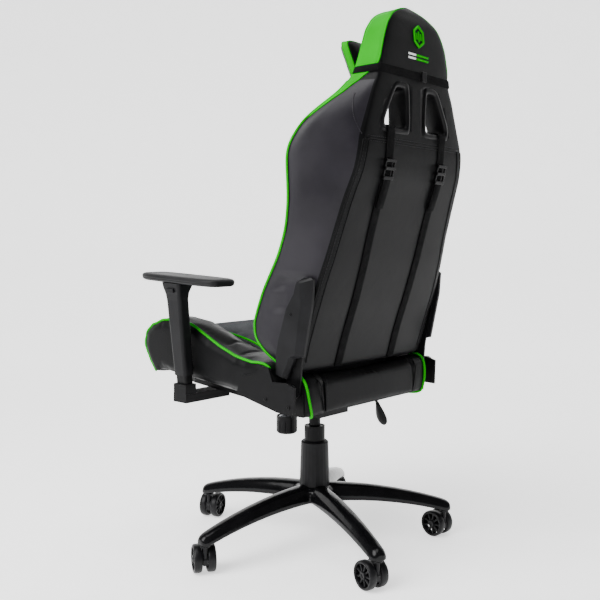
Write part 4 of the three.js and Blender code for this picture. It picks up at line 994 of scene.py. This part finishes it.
# %% Embroidery
EMBLEM_X, EMBLEM_Z = -7, 1172
ring_path = []
for i in range(6):
    a, b = (math.radians(60 * (i + k)) for k in (0, 1))
    for t in (0, 0.25, 0.5, 0.75):
        x = EMBLEM_X + 19 * (math.sin(a) * (1 - t) + math.sin(b) * t)
        z = EMBLEM_Z + 22 * (math.cos(a) * (1 - t) + math.cos(b) * t)
        ring_path.append(on_rear(x, z, 0.3))
tube("emblem_hexagon", ring_path, 2.7, green_piping, "backrest", 8, closed=True)
for number, (dx, half) in enumerate(((-7.5, 7), (0, 11), (7.5, 7))):
    line = [on_rear(EMBLEM_X + dx, EMBLEM_Z + half * k / 2, 0.3) for k in (-2, -1, 0, 1, 2)]
    tube(f"emblem_bar_{number}", line, 2.1, green_piping, "backrest", 8)
for name, x0, x1, look, slot in (
    ("emblem_rule_left", 32, 6, pale_thread, "webbing"),
    ("emblem_rule_right", 1, -42, green_piping, "green_leather"),
):
    for row in (0, 1):
        line = [on_rear(x0 + (x1 - x0) * k / 6, 1132 - 8 * row, 0.2) for k in range(7)]
        tube(f"{name}_{row}", line, 2.3, look, "backrest", 8)
print("emblem", len(ring_path), "points")

# %% [markdown]
# Stuffed cushions swell between their seams. They could be sculpted by hand, but cloth with air
# in it finds that shape by itself. The CAD part is remeshed, drawn in a little and blown up
# again, and no point may move further than a cap, so the cushion keeps its size.

# %% Blowing up a cushion
CLOTH_PRESSURE, CLOTH_FRAMES = 4.0, 20
TUCK = 0.0006  # metres drawn in for each millimetre of the cap


def puffed(name, node, cap, look, body, voxel=0.006):
    """A stuffed piece: the CAD shape shrunk a little, then blown up as cloth."""
    source = frame["nodes"][node]
    mesh = source.data.copy()
    mesh.transform(source.matrix_world)
    mesh.materials.clear()
    piece = bpy.data.objects.new(name, mesh)
    bpy.context.collection.objects.link(piece)
    remesh = piece.modifiers.new("remesh", "REMESH")
    remesh.mode = "VOXEL"
    remesh.voxel_size = voxel
    relax = piece.modifiers.new("relax", "SMOOTH")
    relax.iterations = 4
    bake(piece)
    start = [vertex.co - vertex.normal * cap * TUCK for vertex in piece.data.vertices]
    for vertex, spot in zip(piece.data.vertices, start):
        vertex.co = spot
    cloth = piece.modifiers.new("cloth", "CLOTH")
    cloth.settings.quality = 5
    cloth.settings.use_pressure = True
    cloth.settings.uniform_pressure_force = CLOTH_PRESSURE
    cloth.settings.effector_weights.gravity = 0
    cloth.point_cache.frame_start = 1
    cloth.point_cache.frame_end = CLOTH_FRAMES
    for moment in range(1, CLOTH_FRAMES + 1):
        bpy.context.scene.frame_set(moment)
    bake(piece)
    bpy.context.scene.frame_set(1)
    for vertex, spot in zip(piece.data.vertices, start):
        moved = vertex.co - spot
        if moved.length > cap / 1000:
            vertex.co = spot + moved.normalized() * cap / 1000
    finer = piece.modifiers.new("finer", "SUBSURF")
    finer.levels = finer.render_levels = 1
    bake(piece)
    piece.data.shade_smooth()
    piece.data.materials.append(look)
    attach(piece, body)
    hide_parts(node)
    return piece


# %% [markdown]
# The seat is a padded middle in grey cloth between two raised side bolsters. All three are blown
# up as cloth, so that they look stuffed. The bolsters' surfaces are kept for the piping.

# %% Seat cushions
puffed("seat_centre", "seat_insert", 7, grey_fabric, "seat")
bolster_maps = {}
for label in ("left", "right"):
    bolster = puffed(
        f"bolster_{label}", f"seat_bolster_{label}", 5, black_leather, "seat"
    )
    bolster_maps[label] = surface_map(bolster)
print("bolster", len(bolster.data.polygons), "faces")

# %% [markdown]
# Green piping is sewn along the outer edge of each bolster and between each bolster and the
# middle. The outer line is snapped to the stuffed bolster. The inner one lies in the crease
# between two pieces, where the nearest surface would jump, so it is drawn freely.

# %% Seat piping
SEAT_HALF = 262
THIN_PIPING = 2.6
SIDE_LINE = [
    (100, 474), (81, 480), (40, 484), (1, 490), (-56, 509), (-115, 536), (-156, 552), (-215, 558),
    (-260, 555), (-298, 541), (-324, 520), (-332, 495), (-329, 473), (-312, 441), (-291, 413),
]
CREASE_X = 162
CREASE_LINE = [
    (100, 456), (60, 471), (0, 489), (-60, 506), (-115, 516), (-170, 523), (-215, 528), (-250, 530),
    (-296, 522), (-322, 498), (-328, 470), (-326, 444), (-318, 424), (-311, 414),
]
for label, side in (("left", 1), ("right", -1)):
    edge = flowing([(side * (SEAT_HALF - 1), y, z) for y, z in SIDE_LINE], 4)
    path = [on_cover(point, 0.8, bolster_maps[label]) for point in edge]
    tube(f"seat_piping_{label}", path, PIPING, green_piping, "seat", 10)
    path = flowing([(side * CREASE_X, y, z) for y, z in CREASE_LINE], 4)
    tube(f"insert_piping_{label}", path, THIN_PIPING, green_piping, "seat", 8)
print("seat piping", len(path), "points a side")

# %% [markdown]
# Behind the seat a padded roll hangs down between the recliner's arms. Its two ends are separate
# panels edged with green piping. Each end is the same section repeated across, a little smaller
# at its faces, and the piping is one free line round its outer edge.

# %% Ends of the rear roll
ROLL_Y, ROLL_Z = 140, 425
END_STEPS = ((166, 1.5), (168, 0.2), (185, 0), (205, -0.5), (218, 0.5), (223.5, 3.5))
END_PIPING = [
    (222, 118, 446), (224, 132, 454), (224.5, 149, 453.5), (224, 162, 444), (222, 169, 427),
    (219, 172, 405), (214, 172.5, 385), (208, 170, 368), (200, 160, 362), (188, 146, 362),
]
END_CREASE = [(186, 152, 452.5), (180, 170, 432), (176, 172, 405), (168, 171.5, 372)]
for label, side in (("left", 1), ("right", -1)):
    rings = []
    for x, shrink in END_STEPS:
        radius = 28.2 - shrink
        arc = [
            (ROLL_Y + radius * math.cos(math.radians(a)), ROLL_Z + radius * math.sin(math.radians(a)))
            for a in range(0, 181, 15)
        ]
        foot = [(171 - shrink, 375), (168 - shrink, 367), (158, 364.5), (125, 367)]
        foot += [(113 + shrink, 375), (112 + shrink, 400)]
        ring = [*arc[::-1], (170 - shrink, 410), (171 - shrink, 400), *foot]
        rings.append([(side * x, y, z) for y, z in ring])
    points, faces = skin(rings)
    solid(f"roll_end_{label}", points, faces, black_leather, "seat")
    line = flowing([(side * x, y, z) for x, y, z in END_PIPING], 5)
    tube(f"roll_piping_{label}", line, PIPING, green_piping, "seat", 10)
    crease = flowing([(side * x, y, z) for x, y, z in END_CREASE], 5)
    tube(f"roll_crease_{label}", crease, 1.2, black_leather, "seat", 6)
print("roll ends", len(rings), "sections")

# %% [markdown]
# The middle of the roll is stuffed in the same way as the seat. The cloth swells sideways too
# and would cut into the end panels, so its points are squeezed back to just inside them. Two
# rows of stitches mark the seams.

# %% Middle of the rear roll
ROLL_LIMIT, OVERSHOOT = 163, 0.02
STITCH_Y, STITCH_RADIUS = 172.5, 31.5
roll = puffed(
    "roll_middle", "seat_rear_roll", 5, black_leather, "seat", voxel=0.004
)
for vertex in roll.data.vertices:
    x = (vertex.co.x - AXIS_X) * 1000
    if abs(x) > ROLL_LIMIT:
        kept = ROLL_LIMIT + (abs(x) - ROLL_LIMIT) * OVERSHOOT
        vertex.co.x = AXIS_X + math.copysign(kept, x) / 1000
for number, x in enumerate((-158, 158)):
    line = [Vector((x, STITCH_Y, z)) for z in (375, 395, 412)]
    for a in range(0, 91, 10):
        turn = math.radians(a)
        y, z = ROLL_Y + STITCH_RADIUS * math.cos(turn), ROLL_Z + STITCH_RADIUS * math.sin(turn)
        line.append(Vector((x, y, z)))
    stitches(f"roll_stitches_{number}", line, black_thread, "seat", (0, 1, 0.2))
print("roll", len(roll.data.polygons), "faces")

# %% [markdown]
# The head cushion is a flat block with black faces, a green edge and a welt on each side of it.
# Blown-up cloth would lose those crisp edges, so its outlines are drawn: a rounded oblong,
# wider at the top corners, which leans back to its foot. The lumbar cushion is plain and
# stuffed, so cloth suits it.

# %% Cushions against the backrest
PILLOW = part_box("head_pillow")
pillow_top = PILLOW[1][2] * 1000
pillow_foot = PILLOW[0][2] * 1000
pillow_half = (PILLOW[1][0] - PILLOW[0][0]) * 500


def square(value, power):
    """Pushes a sine or cosine outwards, which turns a circle into a rounded oblong."""
    return math.copysign(abs(value) ** power, value)


PILLOW_POINTS = 96
PILLOW_LEAN = 0.32
PILLOW_SQUARENESS = 0.24


def pillow_ring(size, depth):
    """One outline of the head cushion, wider at its top corners, that leans back to its foot."""
    middle = (pillow_top + pillow_foot) / 2
    ring = []
    for k in range(PILLOW_POINTS):
        a = 2 * math.pi * k / PILLOW_POINTS
        z = square(math.sin(a), PILLOW_SQUARENESS) * (pillow_top - pillow_foot) / 2 * size
        half = pillow_half - 7 + 7 * z / (middle - pillow_foot)
        x = square(math.cos(a), PILLOW_SQUARENESS) * (half - (1 - size) * 62)
        dip = 2.5 * math.cos(math.pi * x / (2 * pillow_half)) * (1 if z > 0 else -1)
        ring.append((x, depth - z * PILLOW_LEAN, middle + z - dip))
    return ring


PILLOW_RINGS = [
    (0.30, 205), (0.62, 204.5), (0.86, 202.5), (0.965, 200), (0.985, 198.5), (1.0, 195.5),
    (1.0, 188), (0.99, 184.5), (0.965, 182.5), (0.88, 175), (0.66, 166), (0.34, 161),
]
points, faces = skin([pillow_ring(size, depth) for size, depth in PILLOW_RINGS])
head = solid("head_cushion", points, faces, black_leather, "backrest", ["head_pillow"])
head.data.materials.append(green_leather)
for polygon in head.data.polygons[: PILLOW_POINTS * (len(PILLOW_RINGS) - 1)]:
    polygon.material_index = 1 if 3 <= polygon.index // PILLOW_POINTS < 8 else 0
for name, row in (("head_cushion_welt_rear", 4), ("head_cushion_welt_front", 7)):
    line = [Vector(point) for point in pillow_ring(*PILLOW_RINGS[row])]
    tube(name, line, 1.3, green_piping, "backrest", 6, closed=True)
print("head cushion box", [round(v, 3) for v in PILLOW[0]], [round(v, 3) for v in PILLOW[1]])
puffed("lumbar_cushion", "lumbar_pillow", 9, black_leather, "backrest")

# %% [markdown]
# The star base is one casting: five arms that bow down from the hub, thick at the root and thin
# at the tip. It could be cut out of one block, but arms and hub flow into each other. So they
# are drawn apart, fused by a voxel remesh, and smoothed a few times.

# %% An arm of the base
ARM_ROOT, ARM_LENGTH = 20, 319
ARM_TOP_Z, ARM_DROP = 125, 47.5
ARM_STEPS = (
    (0.0, 1), (0.1, 1), (0.2, 1), (0.32, 1), (0.44, 1), (0.56, 1), (0.68, 1), (0.78, 1), (0.86, 1),
    (0.92, 1.0), (0.96, 0.97), (0.985, 0.82), (1.0, 0.5),
)
ARM_SECTION = [
    (-0.50, -0.30), (-0.46, -0.47), (-0.2, -0.5), (0.2, -0.5), (0.46, -0.47), (0.50, -0.30),
    (0.46, 0.05), (0.33, 0.38), (0.22, 0.5), (0, 0.54), (-0.22, 0.5), (-0.33, 0.38), (-0.46, 0.05),
]


def arm_rings(angle):
    """The outlines of one arm, from the hub to its tip."""
    rings = []
    for t, size in ARM_STEPS:
        reach = ARM_ROOT + ARM_LENGTH * t
        z = ARM_TOP_Z - ARM_DROP * t**2.1
        width = (60 - 20 * t) * size
        height = (43 - 17 * t) * size
        ring = []
        for u, v in ARM_SECTION:
            side, up = u * width, v * height
            x = reach * math.cos(angle) - side * math.sin(angle)
            y = reach * math.sin(angle) + side * math.cos(angle)
            ring.append((x, y, z + up))
        rings.append(rounded(ring, 2))
    return rings


print("arm", len(ARM_STEPS), "outlines")

# %% [markdown]
# The hub is a short turned drum, and under each arm's tip a socket takes the caster's stem. Both
# are stacks of circles. Everything is gathered into one mesh before it is fused.

# %% Hub and caster sockets
STEM_CIRCLE = 324.5
FIRST_ARM_DEGREES = -79.3
BASE_VOXEL, BASE_SMOOTHING = 0.0024, 7
arm_angles = [math.radians(FIRST_ARM_DEGREES + 72 * i) for i in range(5)]
points, faces = [], []


def add_skin(more):
    """Adds a skin to the points and faces that are being gathered."""
    base = len(points)
    new_points, new_faces = more
    points.extend(new_points)
    faces.extend(tuple(index + base for index in face) for face in new_faces)


HOOP_POINTS = 32


def hoop(radius, z, x=0.0, y=0.0):
    """A level circle."""
    turns = [2 * math.pi * k / HOOP_POINTS for k in range(HOOP_POINTS)]
    return [(x + radius * math.cos(a), y + radius * math.sin(a), z) for a in turns]


for angle in arm_angles:
    add_skin(skin(arm_rings(angle)))
    tip_x, tip_y = STEM_CIRCLE * math.cos(angle), STEM_CIRCLE * math.sin(angle)
    add_skin(skin([hoop(12.5, 68, tip_x, tip_y), hoop(13, 84, tip_x, tip_y)]))
add_skin(skin([hoop(48, 112.5), hoop(51, 118), hoop(50, 134), hoop(44, 141), hoop(38, 143)]))
base = solid("base_casting", points, faces, gloss_base, "base", ["star_base"])
fuse = base.modifiers.new("fuse", "REMESH")
fuse.mode = "VOXEL"
fuse.voxel_size = BASE_VOXEL
flow = base.modifiers.new("flow", "SMOOTH")
flow.factor = 0.5
flow.iterations = BASE_SMOOTHING
bake(base)
base.data.shade_smooth()
print("base", len(base.data.polygons), "faces")

# %% [markdown]
# Each caster has two open wheels with spokes, on one axle under a hood. A wheel could be cut
# from a disc with a boolean for every opening. Here it is built up as it looks: a turned tyre, a
# turned hub and nine spokes. One wheel is drawn and set down ten times.

# %% A caster wheel
SPOKES = 9
TYRE = [
    (25.5, -8.6), (28, -9.3), (30.4, -8.4), (31.8, -5.6), (32, 0), (31.8, 5.6), (30.4, 8.4), (28, 9.3),
    (25.5, 8.6), (25, 6.5), (25.4, 0), (25, -6.5),
]
HUB = [(4.2, -9.2), (7.4, -9.2), (8.2, -8), (8.2, 8), (7.4, 9.2), (4.2, 9.2)]
SPOKE_STEPS = ((7.5, 2.6, 6.8), (14, 1.9, 5.6), (20, 1.9, 5.4), (26, 3.0, 6.4))
SPOKE_SECTION = (
    (-1, -0.8), (-0.7, -1), (0.7, -1), (1, -0.8), (1, 0.8), (0.7, 1), (-0.7, 1), (-1, 0.8),
)


def turned(profile, count):
    """A ring turned from (radius, depth) pairs about the Y axis."""
    rings = []
    for k in range(count):
        a = 2 * math.pi * k / count
        rings.append([(r * math.cos(a), depth, r * math.sin(a)) for r, depth in profile])
    return skin(rings, looped=True)


def wheel_skins():
    """Tyre, hub and spokes of a wheel about the Y axis."""
    spokes = []
    for k in range(SPOKES):
        a = 2 * math.pi * k / SPOKES
        rings = []
        for r, w, d in SPOKE_STEPS:
            ring = []
            for u, v in SPOKE_SECTION:
                x, z = r * math.cos(a) - u * w * math.sin(a), r * math.sin(a) + u * w * math.cos(a)
                ring.append((x, v * d, z))
            rings.append(ring)
        spokes.append(skin(rings))
    return [turned(TYRE, 40), turned(HUB, 24), *spokes]


print("wheel", 2 * max(r for r, _ in TYRE), "mm across")

# %% [markdown]
# The CAD says where each wheel is and which way its axle points. Two wheels of a caster give the
# axle's direction, and a wheel is turned to it before it is set down.

# %% Setting down the wheels
def middle(node):
    """The middle of a CAD part, in millimetres from the lift axis."""
    low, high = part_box(node)
    return (Vector(low) + Vector(high)) * 500 - Vector((AXIS_X, AXIS_Y, 0)) * 1000


for i in range(5):
    axle = middle(f"caster_wheel_{i + 1}b") - middle(f"caster_wheel_{i + 1}a")
    heading = math.atan2(-axle.x, axle.y)
    for label in "ab":
        node = f"caster_wheel_{i + 1}{label}"
        centre = middle(node)
        points, faces = [], []
        for part in wheel_skins():
            add_skin(part)
        turned_points = []
        for x, y, z in points:
            turned_points.append((
                centre[0] + x * math.cos(heading) - y * math.sin(heading),
                centre[1] + x * math.sin(heading) + y * math.cos(heading),
                centre[2] + z,
            ))
        solid(
            f"wheel_{i + 1}{label}", turned_points, faces, caster_plastic,
            f"caster_wheels_{i + 1}", [node],
        )
print("wheels", len(faces), "faces each")

# %% [markdown]
# Covers, brackets, tubes and pins are hard parts whose CAD shape is already right. Only their
# edges are too sharp to catch the light as a moulded or welded edge does, so each gets a bevel
# with a radius of its own.

# %% Hard parts that keep their CAD shape
ROUNDING = {
    "dust_cover": 1.2, "stand_tube": 0.8, "guide_bushing": 0.6, "pressure_cylinder": 0.8,
    "tension_knob": 1.0, "mechanism_housing": 1.0, "tilt_plate": 0.8, "seat_frame": 1.6,
    "back_frame": 1.6, "recliner_shaft": 0.8, "tilt_pin": 0.8, "tilt_lock_slide": 0.8,
    "piston_rod": 0.5, "thrust_bearing": 0.5, "release_pin": 0.5, "recline_lever": 2.4,
}
for label in ("left", "right"):
    ROUNDING.update({
        f"arm_cover_{label}": 1.8, f"side_shield_{label}": 1.4, f"armrest_bracket_{label}": 2.2,
        f"armrest_sleeve_{label}": 1.2, f"armrest_button_{label}": 1.0,
    })
for i in range(5):
    ROUNDING[f"caster_fork_{i + 1}"] = 1.2
for node, radius in ROUNDING.items():
    soften(frame["nodes"][node], radius, 3, 26)
print(len(ROUNDING), "parts rounded")

# %% [markdown]
# A coil spring between the mechanism's housing and the knob sets how hard the seat is to rock.
# The CAD's coil has few turns and a six-sided wire. A screw modifier would wind a finer one, but
# the piping helper does it from a path.

# %% Tension spring
COIL_TURNS, COIL_STEPS = 5, 20
COIL_RADIUS, WIRE_RADIUS = 17, 2.3
END_ROOM = 2.4
spring_low, spring_high = (Vector(corner) * 1000 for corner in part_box("tension_spring"))
spring_y = middle("tension_spring").y
coil = []
for k in range(COIL_TURNS * COIL_STEPS + 1):
    angle = 2 * math.pi * k / COIL_STEPS
    height = spring_high.z - spring_low.z - 2 * END_ROOM
    z = spring_low.z + END_ROOM + height * k / (COIL_TURNS * COIL_STEPS)
    coil.append(Vector((COIL_RADIUS * math.cos(angle), spring_y + COIL_RADIUS * math.sin(angle), z)))
spring = tube(
    "spring_coil", coil, WIRE_RADIUS, bright_steel, "lift", 10, replaced=["tension_spring"]
)
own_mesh(spring)
print("spring", round(spring_high.z - spring_low.z, 1), "mm long")

# %% [markdown]
# The armrest pads are soft moulded slabs with a low crown, a rounded rim and a fine groove where
# the two halves of the mould met. A bevelled box has no crown, so the pad is again a stack of
# oblong outlines, each with its own inset and height.

# %% Armrest pads
PAD_HALF_WIDTH, PAD_HALF_LENGTH = 45, 127
PAD_X, PAD_Y, PAD_Z = 285, -136, 642
PAD_SLOPE, PAD_POINTS, PAD_SQUARENESS = 0.045, 72, 0.42
PAD_LEVELS = [
    (9, 0), (6, 0.3), (3, 1.8), (0.8, 4.5), (0.3, 6.0), (1.0, 6.6), (1.0, 7.2), (0.2, 7.8), (0, 10.5),
    (1.0, 13.4), (3.2, 15.6), (7, 16.8), (14, 17.3), (24, 17.5), (36, 17.6),
]


def pad_outline(inset, z, side):
    """One outline of a pad, drawn in by an inset at a height above its underside."""
    ring = []
    for k in range(PAD_POINTS):
        a = 2 * math.pi * k / PAD_POINTS
        u = square(math.cos(a), PAD_SQUARENESS) * (PAD_HALF_WIDTH - inset)
        v = square(math.sin(a), PAD_SQUARENESS) * (PAD_HALF_LENGTH - inset)
        ring.append((side * PAD_X + u, PAD_Y + v, PAD_Z + z - PAD_SLOPE * v))
    return ring


for label, side in (("left", 1), ("right", -1)):
    points, faces = skin([pad_outline(inset, z, side) for inset, z in PAD_LEVELS])
    solid(f"pad_{label}", points, faces, pad_rubber, f"arm_pad_{label}", [f"armrest_pad_{label}"])
print("pad", 2 * PAD_HALF_LENGTH, "by", 2 * PAD_HALF_WIDTH, "mm")

# %% [markdown]
# The height lever is a bent steel rod with a moulded paddle pushed over its end. The rod is a
# tube along a smooth path. The paddle could be a scaled ball, but it is flatter and widest below
# its middle, so it is a row of ovals along its axis, with five ribs for the fingers.

# %% Rod of the height lever
LEVER_Z, LEVER_Y = 354.3, 6
ROD_RADIUS = 3.9
ROD_BENDS = ((10, 0), (-60, 0), (-150, 8), (-222, 24), (-246, 44), (-253, 58))
rod_path = flowing([(x, LEVER_Y, LEVER_Z - drop) for x, drop in ROD_BENDS], 6)
tube(
    "lever_rod", rod_path, ROD_RADIUS, black_steel, "lever", 12, replaced=["height_lever"]
)
print("rod", len(rod_path), "points")

# %% [markdown]
# The paddle is moulded in satin plastic. Its ovals grow from the rod's thickness to the widest
# place and close at the tip, and each rib is a thin bar that follows the crown.

# %% Paddle of the height lever
PADDLE_STEPS = (
    (0, 5, 4.8), (0.12, 7, 5.6), (0.3, 11.5, 6.2), (0.5, 15.2, 6.6), (0.7, 16.4, 6.4), (0.85, 14.2, 5.6),
    (0.95, 9.0, 4.0), (1.0, 4, 2),
)
OVAL_POINTS = 20
start, end = Vector((-248, LEVER_Y, LEVER_Z - 47)), Vector((-279, LEVER_Y, LEVER_Z - 111))
along = (end - start).normalized()
across = Vector((0, 1, 0))
thick = along.cross(across).normalized()
rings = []
for t, wide, deep in PADDLE_STEPS:
    centre = start + (end - start) * t
    turns = [2 * math.pi * k / OVAL_POINTS for k in range(OVAL_POINTS)]
    rings.append([centre + across * wide * math.cos(a) + thick * deep * math.sin(a) for a in turns])
points, faces = skin(rings)
solid("lever_paddle", points, faces, satin_plastic, "lever")
for number in range(5):
    spot = start + (end - start) * (0.42 + 0.09 * number)
    half = 8.5 - abs(number - 2) * 1.2
    line = [spot + across * half * k / 3 + thick * (5.4 - abs(k) * 0.5) for k in range(-3, 4)]
    tube(f"lever_rib_{number}", line, 0.9, satin_plastic, "lever", 6)
print("paddle", round((end - start).length), "mm long")

# %% [markdown]
# Socket screws hold the shields and the arm covers. Small as they are, they make a cover look
# fixed instead of glued on. A screw is a stack of circles: a domed head that dips into a socket.

# %% Screws
SCREW_POINTS = 18
SCREW_STEPS = ((1, -0.6), (1, 0.7), (0.9, 1.5), (0.62, 2.1), (0.42, 2.1), (0.36, 0.4))


def screw(name, centre, side, radius, body):
    """A domed socket screw standing on an outer side of the chair."""
    axis = Vector((side, 0, 0))
    u = axis.orthogonal().normalized()
    v = axis.cross(u)
    turns = [2 * math.pi * k / SCREW_POINTS for k in range(SCREW_POINTS)]
    rings = []
    for size, lift in SCREW_STEPS:
        foot = Vector(centre) + axis * lift
        rings.append([foot + radius * size * (math.cos(a) * u + math.sin(a) * v) for a in turns])
    points, faces = skin(rings)
    solid(name, points, faces, black_steel, body)


for label, side in (("left", 1), ("right", -1)):
    screw(f"shield_screw_{label}", (side * 267.7, 92, 402), side, 4.2, "seat")
    screw(f"shield_screw_low_{label}", (side * 267.7, 158, 392), side, 4.2, "seat")
    screw(f"cover_screw_{label}", (side * 254.4, 152, 585), side, 3.6, "backrest")
print("screws", 6)
